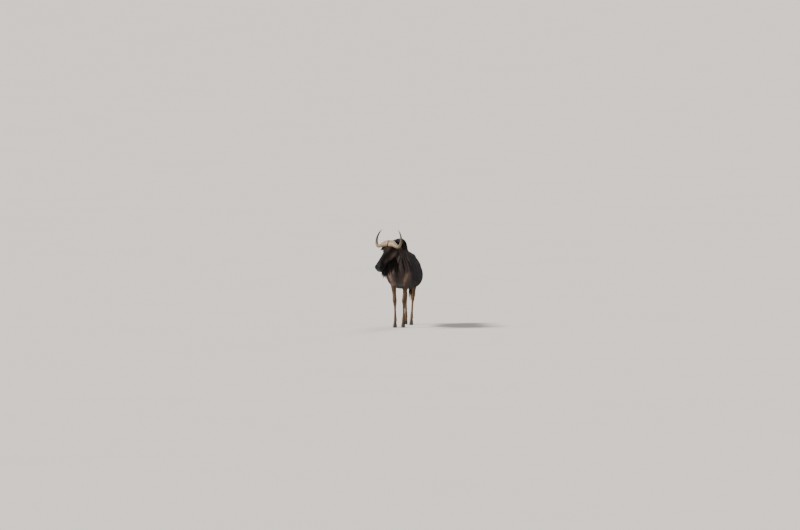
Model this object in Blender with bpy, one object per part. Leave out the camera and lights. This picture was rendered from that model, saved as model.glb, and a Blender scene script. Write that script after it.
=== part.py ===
"""A blue wildebeest bull standing square with its head turned to its right, life size.

Metres, +Z up. The animal faces -Y and its left side is +X. The body is lofted from named stations,
fused, given its muscles, thinned to facets and parted with thin cuts into head, neck, torso and legs.
Horns, ears, eyes, claws, mane, beard and tail are set on it with a gap of about 0.3 mm.
"""

from math import cos, pi, radians, sin, tan

import bmesh
import bpy
import numpy as np
from mathutils import Vector
from mathutils.bvhtree import BVHTree

# Driving sizes
WITHERS_HEIGHT = 1.40
HEAD_LENGTH = 0.52
HORN_REACH = 0.285  # half of the horns' spread
HEAD_TURN = radians(38)  # to the animal's right
HEAD_PITCH = radians(48)  # below the horizontal
EAR_LENGTH = 0.19
EYE_RADIUS = 0.0215
CLAW_LENGTH = 0.096
CLEFT = 0.005  # half of the gap between two claws
GAP = 0.0003
OFFSET = 0.0005  # how far a cutter stands off the surface that it follows
BODY_TRIANGLES = 4900
VOXEL = 0.0055
DETAIL_BIAS = 0.00016
LID = 0.0030  # thickness of an eyelid

POLL = np.array([-0.034, -0.378, 1.332])  # where the head's own frame has its origin

# Trunk: y, top, bottom, half width, height of the widest point, how far the top narrows
TRUNK = np.array([
    (-0.292, 1.060, 0.890, 0.050, 0.970, 0.00),
    (-0.270, 1.130, 0.830, 0.095, 0.955, 0.05),
    (-0.215, 1.240, 0.762, 0.140, 0.940, 0.15),
    (-0.110, 1.350, 0.708, 0.176, 0.916, 0.36),
    (0.010, 1.402, 0.680, 0.206, 0.888, 0.50),
    (0.130, 1.372, 0.655, 0.234, 0.866, 0.50),
    (0.280, 1.286, 0.626, 0.260, 0.844, 0.48),
    (0.440, 1.226, 0.600, 0.280, 0.828, 0.45),
    (0.600, 1.198, 0.592, 0.284, 0.824, 0.42),
    (0.760, 1.188, 0.640, 0.246, 0.850, 0.42),
    (0.900, 1.180, 0.742, 0.190, 0.910, 0.40),
    (1.020, 1.148, 0.838, 0.146, 0.975, 0.32),
    (1.100, 1.092, 0.914, 0.108, 1.002, 0.16),
    (1.135, 1.040, 0.972, 0.050, 1.005, 0.00),
])

# Neck: y, sideways shift, top, bottom, half width
NECK = np.array([
    (0.100, 0.000, 1.370, 0.900, 0.120),
    (-0.020, 0.000, 1.398, 0.858, 0.132),
    (-0.120, -0.003, 1.392, 0.868, 0.126),
    (-0.200, -0.010, 1.382, 0.915, 0.115),
    (-0.270, -0.020, 1.376, 0.990, 0.103),
    (-0.330, -0.031, 1.372, 1.070, 0.094),
    (-0.385, -0.043, 1.358, 1.138, 0.083),
    (-0.425, -0.054, 1.310, 1.200, 0.050),
])

# Head: share of its length from the poll, top, bottom, half width, squareness
HEAD = np.array([
    (-0.085, 0.040, -0.055, 0.046, 2.0),
    (-0.040, 0.074, -0.088, 0.066, 2.1),
    (0.050, 0.090, -0.116, 0.078, 2.3),
    (0.170, 0.093, -0.132, 0.083, 2.5),
    (0.290, 0.088, -0.136, 0.080, 2.6),
    (0.390, 0.083, -0.122, 0.069, 2.6),
    (0.500, 0.081, -0.098, 0.056, 2.6),
    (0.620, 0.080, -0.080, 0.050, 2.6),
    (0.730, 0.078, -0.075, 0.053, 2.7),
    (0.830, 0.072, -0.077, 0.063, 2.8),
    (0.910, 0.062, -0.078, 0.069, 3.0),
    (0.970, 0.045, -0.070, 0.064, 3.0),
    (1.000, 0.020, -0.050, 0.048, 2.6),
])

# Front leg: z, y, x, half depth fore and aft, half width
FRONT_LEG = np.array([
    (1.040, -0.030, 0.110, 0.095, 0.050),
    (0.900, -0.005, 0.122, 0.104, 0.062),
    (0.810, 0.018, 0.117, 0.090, 0.060),
    (0.730, 0.010, 0.106, 0.069, 0.050),
    (0.630, -0.008, 0.095, 0.050, 0.041),
    (0.530, -0.016, 0.086, 0.038, 0.033),
    (0.465, -0.020, 0.081, 0.036, 0.034),
    (0.425, -0.020, 0.079, 0.038, 0.036),
    (0.385, -0.013, 0.078, 0.031, 0.029),
    (0.335, -0.006, 0.077, 0.0255, 0.0215),
    (0.250, -0.003, 0.076, 0.0240, 0.0190),
    (0.180, 0.000, 0.075, 0.0270, 0.0215),
    (0.138, 0.000, 0.074, 0.0310, 0.0265),
    (0.104, -0.013, 0.074, 0.0255, 0.0255),
    (0.075, -0.025, 0.074, 0.0270, 0.0285),
    (0.045, -0.034, 0.074, 0.0320, 0.0320),
    (0.022, -0.040, 0.074, 0.0300, 0.0300),
])

# Hind leg, in the same columns
HIND_LEG = np.array([
    (1.060, 0.930, 0.080, 0.130, 0.052),
    (0.950, 0.925, 0.102, 0.168, 0.080),
    (0.850, 0.915, 0.112, 0.150, 0.074),
    (0.770, 0.905, 0.110, 0.118, 0.061),
    (0.690, 0.935, 0.100, 0.091, 0.050),
    (0.610, 0.978, 0.088, 0.067, 0.040),
    (0.550, 1.016, 0.080, 0.053, 0.034),
    (0.508, 1.042, 0.076, 0.050, 0.031),
    (0.468, 1.046, 0.074, 0.044, 0.0320),
    (0.425, 1.040, 0.073, 0.036, 0.0280),
    (0.365, 1.034, 0.072, 0.0280, 0.0215),
    (0.265, 1.032, 0.071, 0.0255, 0.0195),
    (0.185, 1.032, 0.070, 0.0280, 0.0220),
    (0.142, 1.030, 0.070, 0.0315, 0.0265),
    (0.106, 1.016, 0.070, 0.0255, 0.0255),
    (0.076, 1.004, 0.070, 0.0270, 0.0285),
    (0.046, 0.995, 0.070, 0.0320, 0.0320),
    (0.022, 0.989, 0.070, 0.0300, 0.0300),
])

# Each leg: its stations, its side, how far its foot steps back and how far it stands out
LEGS = {
    "front_left": (FRONT_LEG, 1, 0.012, -0.014),
    "front_right": (FRONT_LEG, -1, -0.030, -0.008),
    "hind_left": (HIND_LEG, 1, -0.160, -0.014),
    "hind_right": (HIND_LEG, -1, 0.030, -0.006),
}
STEP_FROM = 0.86  # the height where a step starts to move the leg
CORONET = 0.056  # height of the hoof's top edge under the pastern's middle
CORONET_SLOPE = -0.30  # the top edge climbs towards the toe
HOOF_AHEAD = -0.037  # the hoof's middle, ahead of the cannon
HIND_AHEAD = 0.992

# Tail bone: y, z, radius
DOCK = np.array([
    (1.060, 1.110, 0.034),
    (1.130, 1.086, 0.032),
    (1.172, 1.020, 0.027),
    (1.190, 0.930, 0.022),
    (1.194, 0.830, 0.018),
    (1.190, 0.720, 0.014),
    (1.184, 0.640, 0.009),
])

# Horn, from the boss outwards: sideways, up, forward, half width along the face, half thickness
HORN = np.array([
    (0.0065, 0.004, 0.002, 0.043, 0.021),
    (0.020, 0.004, 0.002, 0.056, 0.033),
    (0.045, 0.004, 0.002, 0.060, 0.037),
    (0.090, -0.001, 0.004, 0.054, 0.037),
    (0.145, -0.017, 0.012, 0.040, 0.032),
    (0.205, -0.040, 0.020, 0.030, 0.026),
    (0.262, -0.046, 0.022, 0.026, 0.0235),
    (0.302, -0.014, 0.018, 0.0225, 0.0210),
    (0.315, 0.046, 0.010, 0.0185, 0.0180),
    (0.302, 0.108, 0.002, 0.0145, 0.0145),
    (0.272, 0.160, -0.006, 0.0105, 0.0105),
    (0.236, 0.198, -0.012, 0.0065, 0.0065),
    (0.208, 0.218, -0.015, 0.0020, 0.0020),
])

# Muscles and hollows of the trunk on the left side: place, radii, height
FORMS = (
    ((0.130, -0.020, 1.200), (0.06, 0.06, 0.14), 0.014),
    ((0.190, 0.040, 0.960), (0.06, 0.085, 0.10), 0.018),
    ((0.135, -0.200, 0.985), (0.07, 0.07, 0.11), 0.012),
    ((0.215, 0.175, 1.050), (0.07, 0.035, 0.16), -0.011),
    ((0.120, 0.090, 0.765), (0.05, 0.03, 0.05), 0.012),
    ((0.240, 0.440, 0.820), (0.08, 0.16, 0.13), 0.004),
    ((0.185, 0.735, 1.020), (0.07, 0.06, 0.09), -0.018),
    ((0.120, 0.810, 1.125), (0.05, 0.05, 0.045), 0.018),
    ((0.175, 0.950, 0.930), (0.07, 0.09, 0.14), 0.014),
    ((0.165, 0.800, 0.800), (0.05, 0.05, 0.06), 0.018),
    ((0.065, 1.110, 1.040), (0.04, 0.04, 0.05), 0.016),
    ((0.060, -0.255, 0.900), (0.04, 0.05, 0.08), 0.014),
    ((0.000, -0.285, 0.930), (0.014, 0.06, 0.10), -0.014),
    ((0.090, -0.270, 1.180), (0.03, 0.06, 0.09), -0.010),
)

# Muscles, joints and tendons of the legs in the same columns, moved with each leg's step
FRONT_LEG_FORMS = (
    ((0.140, 0.020, 0.720), (0.05, 0.035, 0.09), 0.010),
    ((0.095, -0.070, 0.690), (0.05, 0.030, 0.08), 0.008),
    ((0.080, -0.055, 0.428), (0.03, 0.018, 0.030), 0.006),
    ((0.079, 0.020, 0.418), (0.02, 0.014, 0.022), 0.006),
    ((0.076, 0.012, 0.270), (0.012, 0.012, 0.080), 0.003),
)
HIND_LEG_FORMS = (
    ((0.122, 0.860, 0.700), (0.05, 0.040, 0.07), 0.010),
    ((0.101, 1.040, 0.690), (0.05, 0.030, 0.09), 0.008),
    ((0.076, 1.092, 0.508), (0.02, 0.024, 0.030), 0.012),
    ((0.083, 1.030, 0.580), (0.05, 0.016, 0.050), -0.007),
    ((0.074, 1.000, 0.450), (0.03, 0.018, 0.030), 0.004),
    ((0.071, 1.052, 0.290), (0.012, 0.012, 0.090), 0.003),
)

# Forms of the head on its left side: along, up and out in its own frame, radii, height
HEAD_FORMS = (
    ((0.150, 0.068, 0.072), (0.040, 0.020, 0.032), 0.014),
    ((0.205, 0.022, 0.068), (0.060, 0.009, 0.028), 0.006),
    ((0.275, 0.000, 0.058), (0.070, 0.011, 0.026), 0.007),
    ((0.120, -0.050, 0.080), (0.055, 0.052, 0.032), 0.012),
    ((0.200, -0.095, 0.050), (0.060, 0.020, 0.040), 0.006),
    ((0.295, -0.040, 0.056), (0.055, 0.022, 0.028), -0.009),
    ((0.262, 0.044, 0.058), (0.050, 0.018, 0.026), -0.009),
    ((0.070, 0.050, 0.078), (0.035, 0.030, 0.026), -0.006),
    ((0.478, 0.028, 0.054), (0.030, 0.022, 0.024), 0.013),
    ((0.445, -0.014, 0.062), (0.045, 0.013, 0.024), 0.008),
    ((0.455, -0.050, 0.056), (0.045, 0.010, 0.024), 0.005),
    ((0.470, -0.070, 0.018), (0.028, 0.018, 0.028), 0.008),
    ((0.512, 0.002, 0.000), (0.016, 0.026, 0.022), -0.004),
    ((0.130, 0.095, 0.000), (0.040, 0.030, 0.030), -0.006),
    ((0.300, 0.085, 0.000), (0.120, 0.024, 0.022), 0.008),
)

COAT = ("coat", (0.100, 0.085, 0.080), 0.62)
FACE = ("face", (0.045, 0.036, 0.034), 0.60)
SHANK = ("shank", (0.230, 0.150, 0.095), 0.62)
HAIR = ("long_hair", (0.018, 0.015, 0.017), 0.55)
HORN_KERATIN = ("horn", (0.400, 0.330, 0.250), 0.48)
HOOF_KERATIN = ("hoof", (0.045, 0.038, 0.034), 0.50)
EYE_GLOSS = ("eye", (0.020, 0.010, 0.006), 0.08)


def curve_through(knots, values, at):
    """Values on a smooth curve through the knots: cubic pieces with shared slopes."""
    order = np.argsort(knots)
    knots, values = knots[order], values[order]
    slopes = np.gradient(values, knots, axis=0)
    piece = np.clip(np.searchsorted(knots, at) - 1, 0, len(knots) - 2)
    width = (knots[piece + 1] - knots[piece])[:, None]
    t = ((at - knots[piece])[:, None]) / width
    start, end = values[piece], values[piece + 1]
    leave, arrive = slopes[piece] * width, slopes[piece + 1] * width
    return (
        start * (1 + 2 * t) * (1 - t) ** 2
        + leave * t * (1 - t) ** 2
        + end * t * t * (3 - 2 * t)
        + arrive * t * t * (t - 1)
    )


def bend_power(value, squareness):
    return np.sign(value) * np.abs(value) ** (2 / squareness)


def smooth_step(low, high, value):
    share = np.clip((value - low) / (high - low), 0, 1)
    return share * share * (3 - 2 * share)


def head_axes():
    """The head's own directions in the world: along the face, up out of the forehead, to its left."""
    forward = np.array([-sin(HEAD_TURN), -cos(HEAD_TURN), 0.0])
    along = forward * cos(HEAD_PITCH) + np.array([0, 0, -sin(HEAD_PITCH)])
    up = forward * sin(HEAD_PITCH) + np.array([0, 0, cos(HEAD_PITCH)])
    left = np.array([cos(HEAD_TURN), -sin(HEAD_TURN), 0.0])
    return along, up, left


ALONG, UP, LEFT = head_axes()
FORWARD = np.array([-sin(HEAD_TURN), -cos(HEAD_TURN), 0.0])
SKY = np.array([0.0, 0.0, 1.0])


def head_point(along, up, left):
    """World points of places in the head's frame."""
    place = np.multiply.outer(along, ALONG) + np.multiply.outer(up, UP) + np.multiply.outer(left, LEFT)
    return POLL + place


def in_head_frame(points):
    local = points - POLL
    return np.stack([local @ ALONG, local @ UP, local @ LEFT], axis=-1)


def new_object(name, points, faces):
    mesh = bpy.data.meshes.new(name)
    mesh.from_pydata([tuple(p) for p in points], [], faces)
    shape = bmesh.new()
    shape.from_mesh(mesh)
    bmesh.ops.remove_doubles(shape, verts=shape.verts, dist=1e-6)
    bmesh.ops.recalc_face_normals(shape, faces=shape.faces)
    shape.to_mesh(mesh)
    shape.free()
    obj = bpy.data.objects.new(name, mesh)
    bpy.context.scene.collection.objects.link(obj)
    return obj


def loft(name, rings, ends=None):
    """A closed solid through rings of points, with a fan to a point at each end."""
    count, around = rings.shape[:2]
    points = list(rings.reshape(-1, 3)) + list(ends or (rings[0].mean(0), rings[-1].mean(0)))
    first, last = count * around, count * around + 1
    faces = []
    for i in range(around):
        j = (i + 1) % around
        faces.append((first, j, i))
        faces.append((last, (count - 1) * around + i, (count - 1) * around + j))
        for k in range(count - 1):
            faces.append((k * around + i, k * around + j, (k + 1) * around + j, (k + 1) * around + i))
    return new_object(name, points, faces)


def trunk_rings(count=44, around=40):
    """Upright sections of the trunk, wider below and drawn in towards the withers."""
    y = TRUNK[0, 0] + (TRUNK[-1, 0] - TRUNK[0, 0]) * (1 - np.cos(np.linspace(0, pi, count))) / 2
    top, bottom, half, middle, narrow = curve_through(TRUNK[:, 0], TRUNK[:, 1:], y).T[:, :, None]
    turn = np.linspace(0, 2 * pi, around, endpoint=False)[None, :]
    lower = np.sin(turn) < 0
    side = bend_power(np.cos(turn), np.where(lower, 2.65, 2.25))
    rise = bend_power(np.sin(turn), np.where(lower, 2.40, 2.15))
    x = half * side * (1 - narrow * np.clip(np.sin(turn), 0, 1) ** 1.4)
    z = middle + np.where(rise > 0, (top - middle) * rise, (middle - bottom) * rise)
    return np.stack([x, np.broadcast_to(y[:, None], x.shape), z], axis=-1)


def neck_rings(count=18, around=32):
    y = np.linspace(NECK[0, 0], NECK[-1, 0], count)
    shift, top, bottom, half = curve_through(NECK[:, 0], NECK[:, 1:], y).T[:, :, None]
    turn = np.linspace(0, 2 * pi, around, endpoint=False)[None, :]
    crest = 1 - 0.42 * np.clip(np.sin(turn), 0, 1) ** 1.6
    x = shift + half * bend_power(np.cos(turn), 2.2) * crest
    z = (top + bottom) / 2 + (top - bottom) / 2 * bend_power(np.sin(turn), 2.2)
    return np.stack([x, np.broadcast_to(y[:, None], x.shape), z], axis=-1)


def head_rings(count=36, around=32):
    share = np.linspace(HEAD[0, 0], HEAD[-1, 0], count)
    top, bottom, half, square = curve_through(HEAD[:, 0], HEAD[:, 1:], share).T[:, :, None]
    turn = np.linspace(0, 2 * pi, around, endpoint=False)[None, :]
    cross, rise = np.cos(turn), np.sin(turn)
    side = np.sign(cross) * np.abs(cross) ** (2 / square)
    lift = np.sign(rise) * np.abs(rise) ** (2 / square)
    jaw = 1 - 0.30 * np.clip(-rise, 0, 1) ** 2 * smooth_step(0.95, 0.6, share[:, None])
    height = np.where(lift > 0, top * lift, -bottom * lift)
    along = np.broadcast_to(share[:, None] * HEAD_LENGTH, height.shape)
    return head_point(along, height, half * side * jaw)


def leg_rings(stations, side, step, out, count=56, around=24):
    z = np.linspace(stations[0, 0], stations[-1, 0], count)
    y, x, deep, wide = curve_through(stations[:, 0], stations[:, 1:], z).T[:, :, None]
    moved = smooth_step(STEP_FROM, 0.05, z)[:, None]
    turn = np.linspace(0, 2 * pi, around, endpoint=False)[None, :]
    px = side * (x + out * moved) + wide * bend_power(np.cos(turn), 2.2)
    py = y + step * moved + deep * bend_power(np.sin(turn), 2.1)
    return np.stack([px, py, np.broadcast_to(z[:, None], px.shape)], axis=-1)


def tube_rings(centres, wide, thick, across, around):
    """Rings square to a path. One radius points as near as it can along the given direction."""
    tangent = np.gradient(centres, axis=0)
    tangent /= np.linalg.norm(tangent, axis=1, keepdims=True)
    first = across - (tangent @ across)[:, None] * tangent
    first /= np.linalg.norm(first, axis=1, keepdims=True)
    second = np.cross(tangent, first)
    turn = np.linspace(0, 2 * pi, around, endpoint=False)
    return (
        centres[:, None]
        + first[:, None] * (wide[:, None] * np.cos(turn))[..., None]
        + second[:, None] * (thick[:, None] * np.sin(turn))[..., None]
    )


def evaluated(obj):
    """Replaces the object's mesh by what its modifiers make of it."""
    bpy.context.view_layer.update()
    graph = bpy.context.evaluated_depsgraph_get()
    mesh = bpy.data.meshes.new_from_object(obj.evaluated_get(graph))
    obj.modifiers.clear()
    obj.data = mesh
    return obj


def joined(name, objects):
    """One object that holds every shell of the given ones, which are removed."""
    shape = bmesh.new()
    for obj in objects:
        shape.from_mesh(obj.data)
        bpy.data.objects.remove(obj)
    mesh = bpy.data.meshes.new(name)
    shape.to_mesh(mesh)
    shape.free()
    obj = bpy.data.objects.new(name, mesh)
    bpy.context.scene.collection.objects.link(obj)
    return obj


def points_of(mesh):
    points = np.empty(len(mesh.vertices) * 3, np.float32)
    mesh.vertices.foreach_get("co", points)
    return points.reshape(-1, 3).astype(float)


def normals_of(mesh):
    normals = np.empty(len(mesh.vertices) * 3, np.float32)
    mesh.vertices.foreach_get("normal", normals)
    return normals.reshape(-1, 3).astype(float)


def set_points(mesh, points):
    mesh.vertices.foreach_set("co", points.astype(np.float32).ravel())
    mesh.update()


def relaxed(points, edges, weight, rounds):
    """Each point moves towards the mean of its neighbours, as far as its weight says."""
    ends = np.concatenate([edges, edges[:, ::-1]])
    degree = np.bincount(ends[:, 0], minlength=len(points))[:, None]
    for _ in range(rounds):
        total = np.stack(
            [np.bincount(ends[:, 0], points[ends[:, 1], k], len(points)) for k in range(3)], axis=-1
        )
        points = points + weight[:, None] * (total / degree - points)
    return points


def form_height(points, place, radii):
    return np.exp(-(((points - np.array(place)) / np.array(radii)) ** 2).sum(-1))


def both_sides(points, forms):
    """The sum of the forms and of their mirror images. A form on the middle plane counts once."""
    lift = np.zeros(len(points))
    for place, radii, height in forms:
        share = 0.5 if abs(place[0]) < 1e-6 else 1.0
        for side in (1, -1):
            lift += share * height * form_height(points, (place[0] * side, *place[1:]), radii)
    return lift


def relief(points):
    """How far muscles, bones and hollows lift each point."""
    lift = both_sides(points, FORMS)
    local = in_head_frame(points)
    head_forms = [((w, s, h), (rw, rs, rh), height) for (s, h, w), (rs, rh, rw), height in HEAD_FORMS]
    lift += both_sides(local[:, [2, 0, 1]], head_forms)
    for name, (_, side, step, out) in LEGS.items():
        moved = smooth_step(STEP_FROM, 0.05, points[:, 2])
        own = points - np.stack([side * out * moved, step * moved, 0 * moved], axis=-1)
        for place, radii, height in HIND_LEG_FORMS if name.startswith("hind") else FRONT_LEG_FORMS:
            lift += height * form_height(own, (place[0] * side, *place[1:]), radii)
    return lift


def eye_frame(side):
    """An eye in the head's frame: its centre, the way it looks, and its long and short axes."""
    centre = np.array([0.166, 0.048, 0.0590 * side])
    look = np.array([0.10, 0.20, 0.97 * side])
    look /= np.linalg.norm(look)
    long_axis = np.array([1.0, -0.22, 0.0])
    long_axis -= (long_axis @ look) * look
    long_axis /= np.linalg.norm(long_axis)
    return centre, look, long_axis, np.cross(look, long_axis) * side


def with_lids(points):
    """Skin near each eye, raised into lids just outside the eyeball round an almond opening."""
    local = in_head_frame(points)
    for side in (1, -1):
        centre, look, long_axis, short_axis = eye_frame(side)
        away = local - centre
        out, run, rise = away @ look, away @ long_axis, away @ short_axis
        reach = np.hypot(run, rise)
        near = (out > -0.012) & (reach < 0.045)
        outer = EYE_RADIUS + LID
        lid = np.sqrt(np.clip(outer**2 - reach**2, 0, None)) - 1.2 * np.clip(reach - outer, 0, None)
        blend = 0.0035
        raised = blend * np.logaddexp(out / blend, lid / blend)
        half_height = np.where(rise > 0, 0.0145, 0.0110) * (1 - (run / 0.0200) ** 2)
        inside = smooth_step(0.0012, -0.0012, np.abs(rise) - half_height)
        ball = np.sqrt(np.clip(EYE_RADIUS**2 - reach**2, 0, None)) - 0.005
        moved = raised + inside * (np.minimum(ball, raised) - raised)
        local = local + np.where(near, moved - out, 0)[:, None] * look
    return head_point(local[:, 0], local[:, 1], local[:, 2])


def refined(mesh, chosen):
    """Splits every edge whose two ends are chosen."""
    shape = bmesh.new()
    shape.from_mesh(mesh)
    shape.verts.ensure_lookup_table()
    edges = [edge for edge in shape.edges if chosen[edge.verts[0].index] and chosen[edge.verts[1].index]]
    bmesh.ops.subdivide_edges(shape, edges=edges, cuts=1, use_grid_fill=True)
    odd = [face for face in shape.faces if len(face.verts) > 4]
    bmesh.ops.triangulate(shape, faces=odd)
    shape.to_mesh(mesh)
    shape.free()


def head_share(points):
    """One on the head, falling to nothing at the nape."""
    along, up, _ = in_head_frame(points).T
    return smooth_step(-0.01, 0.07, along) * smooth_step(-0.19, -0.15, up) * (points[:, 1] < -0.31)


def edges_of(mesh):
    edges = np.empty(len(mesh.edges) * 2, np.int32)
    mesh.edges.foreach_get("vertices", edges)
    return edges.reshape(-1, 2)


def dewclaw_shells():
    """Two small balls behind each fetlock."""
    shells = []
    for stations, side, step, out in LEGS.values():
        height = 0.116
        y, x, deep, _ = curve_through(stations[:, 0], stations[:, 1:], np.array([height]))[0]
        moved = float(smooth_step(STEP_FROM, 0.05, height))
        for across in (-0.014, 0.014):
            centre = (side * (x + out * moved) + across, y + step * moved + deep + 0.004, height)
            shells.append(ball("dewclaw", centre, np.diag([0.010, 0.011, 0.016]), 10, 6))
    return shells


def ball(name, centre, axes, around, rows):
    """A closed ellipsoid. The rows of axes are its three half axes, the last one through its poles."""
    tilt = np.linspace(0, pi, rows + 1)[1:-1, None]
    turn = np.linspace(0, 2 * pi, around, endpoint=False)[None, :]
    shape = [np.sin(tilt) * np.cos(turn), np.sin(tilt) * np.sin(turn), np.cos(tilt) + 0 * turn]
    rings = np.array(centre) + np.stack(shape, axis=-1) @ np.array(axes)
    ends = [np.array(centre) + np.array(axes)[2], np.array(centre) - np.array(axes)[2]]
    return loft(name, rings, ends)


def whole_body():
    """The fused body before it is parted, with a search tree of its smooth surface."""
    shells = [
        loft("trunk_shell", trunk_rings()),
        loft("neck_shell", neck_rings()),
        loft("head_shell", head_rings()),
        *dewclaw_shells(),
    ]
    for stations, side, step, out in LEGS.values():
        shells.append(loft("leg_shell", leg_rings(stations, side, step, out)))
    body = joined("whole_body", shells)
    remesh = body.modifiers.new("fuse", "REMESH")
    remesh.mode = "VOXEL"
    remesh.voxel_size = VOXEL
    evaluated(body)
    mesh = body.data
    points = points_of(mesh)
    slender = smooth_step(0.72, 0.55, points[:, 2])
    weight = 0.5 * (1 - 0.75 * np.maximum(head_share(points), slender))
    set_points(mesh, relaxed(points, edges_of(mesh), weight, 26))
    refined(mesh, head_share(points_of(mesh)) > 0.5)
    points = points_of(mesh)
    points = points + normals_of(mesh) * relief(points)[:, None]
    points = relaxed(points, edges_of(mesh), np.full(len(points), 0.4), 3)
    set_points(mesh, points)
    local = in_head_frame(points)
    near_eye = np.zeros(len(points), bool)
    for side in (1, -1):
        near_eye |= np.linalg.norm(local - eye_frame(side)[0], axis=1) < 0.045
    refined(mesh, near_eye)
    set_points(mesh, with_lids(points_of(mesh)))
    tree = BVHTree.FromObject(body, bpy.context.evaluated_depsgraph_get())
    thinned(body)
    return body, tree


def thinned(body):
    """Collapses the fine mesh to few triangles, with more of them left on the head and the legs."""
    points = points_of(body.data)
    slender = smooth_step(0.70, 0.50, points[:, 2])
    worth = np.maximum(head_share(points), 0.6 * slender)
    keep = body.vertex_groups.new(name="detail")
    for level in range(11):
        chosen = np.flatnonzero(np.round(worth * 10) == level)
        if len(chosen):
            keep.add([int(i) for i in chosen], 1 - 0.06 * level, "REPLACE")
    thin = body.modifiers.new("facets", "DECIMATE")
    thin.vertex_group = keep.name
    thin.vertex_group_factor = DETAIL_BIAS
    body.data.calc_loop_triangles()
    thin.ratio = BODY_TRIANGLES / len(body.data.loop_triangles)
    evaluated(body)
    body.vertex_groups.clear()


def inflated(obj, distance):
    """A hidden copy whose surface stands off by the distance."""
    copy = bpy.data.objects.new(obj.name + "_cutter", obj.data.copy())
    bpy.context.scene.collection.objects.link(copy)
    set_points(copy.data, points_of(copy.data) + normals_of(copy.data) * distance)
    copy.hide_render = True
    copy.display_type = "WIRE"
    return copy


def boolean(obj, other, operation, solver="EXACT"):
    """Applies one Boolean and leaves the other object alone."""
    step = obj.modifiers.new(operation.lower(), "BOOLEAN")
    step.operation = operation
    step.solver = solver
    step.object = other
    return evaluated(obj)


def remove(*objects):
    for obj in objects:
        bpy.data.objects.remove(obj)


def corner_block(name, low, high, floor, roof):
    """A six-sided block over a rectangle in x and y, with a sloping floor and roof."""
    corners = [(x, y) for x in (low[0], high[0]) for y in (low[1], high[1])]
    points = [(x, y, floor(x, y)) for x, y in corners] + [(x, y, roof(x, y)) for x, y in corners]
    faces = [(0, 1, 3, 2), (4, 6, 7, 5), (0, 4, 5, 1), (2, 3, 7, 6), (0, 2, 6, 4), (1, 5, 7, 3)]
    block = new_object(name, points, faces)
    block.hide_render = True
    return block


def half_space(name, point, normal, size=3.0):
    """A big cube whose one face passes through the point. It fills the side that the normal points to."""
    normal = Vector(normal).normalized()
    bpy.ops.mesh.primitive_cube_add(size=size)
    cube = bpy.context.object
    cube.name = name
    cube.rotation_mode = "QUATERNION"
    cube.rotation_quaternion = normal.to_track_quat("Z", "Y")
    cube.location = Vector(point) + normal * (size / 2)
    bpy.context.view_layer.update()
    cube.data.transform(cube.matrix_world)
    cube.matrix_world.identity()
    cube.hide_render = True
    return cube


def copy_of(obj, name):
    copy = bpy.data.objects.new(name, obj.data.copy())
    bpy.context.scene.collection.objects.link(copy)
    return copy


def keep_largest(obj):
    """Keeps the largest closed surface of the mesh and drops loose scraps."""
    shape = bmesh.new()
    shape.from_mesh(obj.data)
    unseen, best, most = set(shape.faces), [], -1.0
    while unseen:
        island, edge_of_search = [], [unseen.pop()]
        while edge_of_search:
            face = edge_of_search.pop()
            island.append(face)
            for edge in face.edges:
                for near in edge.link_faces:
                    if near in unseen:
                        unseen.remove(near)
                        edge_of_search.append(near)
        volume = abs(sum(face_volume(face) for face in island))
        if volume > most:
            best, most = island, volume
    bmesh.ops.delete(shape, geom=list(set(shape.faces) - set(best)), context="FACES")
    loose = [vertex for vertex in shape.verts if not vertex.link_faces]
    bmesh.ops.delete(shape, geom=loose, context="VERTS")
    bmesh.ops.triangulate(shape, faces=shape.faces)
    shape.to_mesh(obj.data)
    shape.free()
    return obj


def face_volume(face):
    corners = [vertex.co for vertex in face.verts]
    first = corners[0]
    pairs = zip(corners[1:-1], corners[2:])
    return sum(first.dot(second.cross(third)) for second, third in pairs) / 6


def finish(obj, finish_of):
    """Gives a node its material and smooth shading with sharp creases kept."""
    name, colour, roughness = finish_of
    material = bpy.data.materials.get(name)
    if material is None:
        material = bpy.data.materials.new(name)
        material.use_nodes = True
        shader = material.node_tree.nodes["Principled BSDF"]
        shader.inputs["Base Color"].default_value = (*colour, 1)
        shader.inputs["Roughness"].default_value = roughness
        shader.inputs["Metallic"].default_value = 0.0
        material.diffuse_color = (*colour, 1)
    obj.data.materials.clear()
    obj.data.materials.append(material)
    obj.data.shade_smooth()
    obj.data.set_sharp_from_angle(angle=radians(50))
    return obj


def coronet_height(foot_y, y):
    return CORONET + CORONET_SLOPE * (y - foot_y)


def foot_place(name):
    """Where a foot's middle stands, in x and y."""
    stations, side, step, out = LEGS[name]
    base = HIND_AHEAD if name.startswith("hind") else HOOF_AHEAD
    moved = float(smooth_step(STEP_FROM, 0.05, 0.05))
    return side * (stations[-2, 2] + out * moved), base + step * moved


def leg_block(name, spare):
    """The space that a leg's node fills. Spare widens it, to cut the torso clear of the leg."""
    x_foot, y_foot = foot_place(name)
    side = 1 if x_foot > 0 else -1
    front = name.startswith("front")
    inner, slope = (0.628, tan(radians(51))) if front else (0.598, tan(radians(63.5)))
    back, fore = (0.128, -0.60) if front else (1.50, 0.715)
    low = (min(0.0, side * 0.5), fore - spare)
    high = (max(0.0, side * 0.5), back + spare)
    drop = 0.2 if spare else 0.0

    def floor(x, y):
        return coronet_height(y_foot, y) + GAP - drop

    def roof(x, y):
        return inner + slope * abs(x) + spare

    return corner_block("block_" + name, low, high, floor, roof)


def head_block(spare):
    """The space that the head's node fills: ahead of the nape and above the throat. Spare widens it."""
    side_line = ((-0.075, 0.150), (0.100, -0.152), (0.800, -0.152), (0.800, 0.400), (-0.075, 0.400))
    along, up = np.array(side_line).T - spare
    rings = np.stack([head_point(along, up, np.full(5, left)) for left in (-0.25, 0.25)])
    block = loft("head_block", rings)
    block.hide_render = True
    return block


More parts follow.
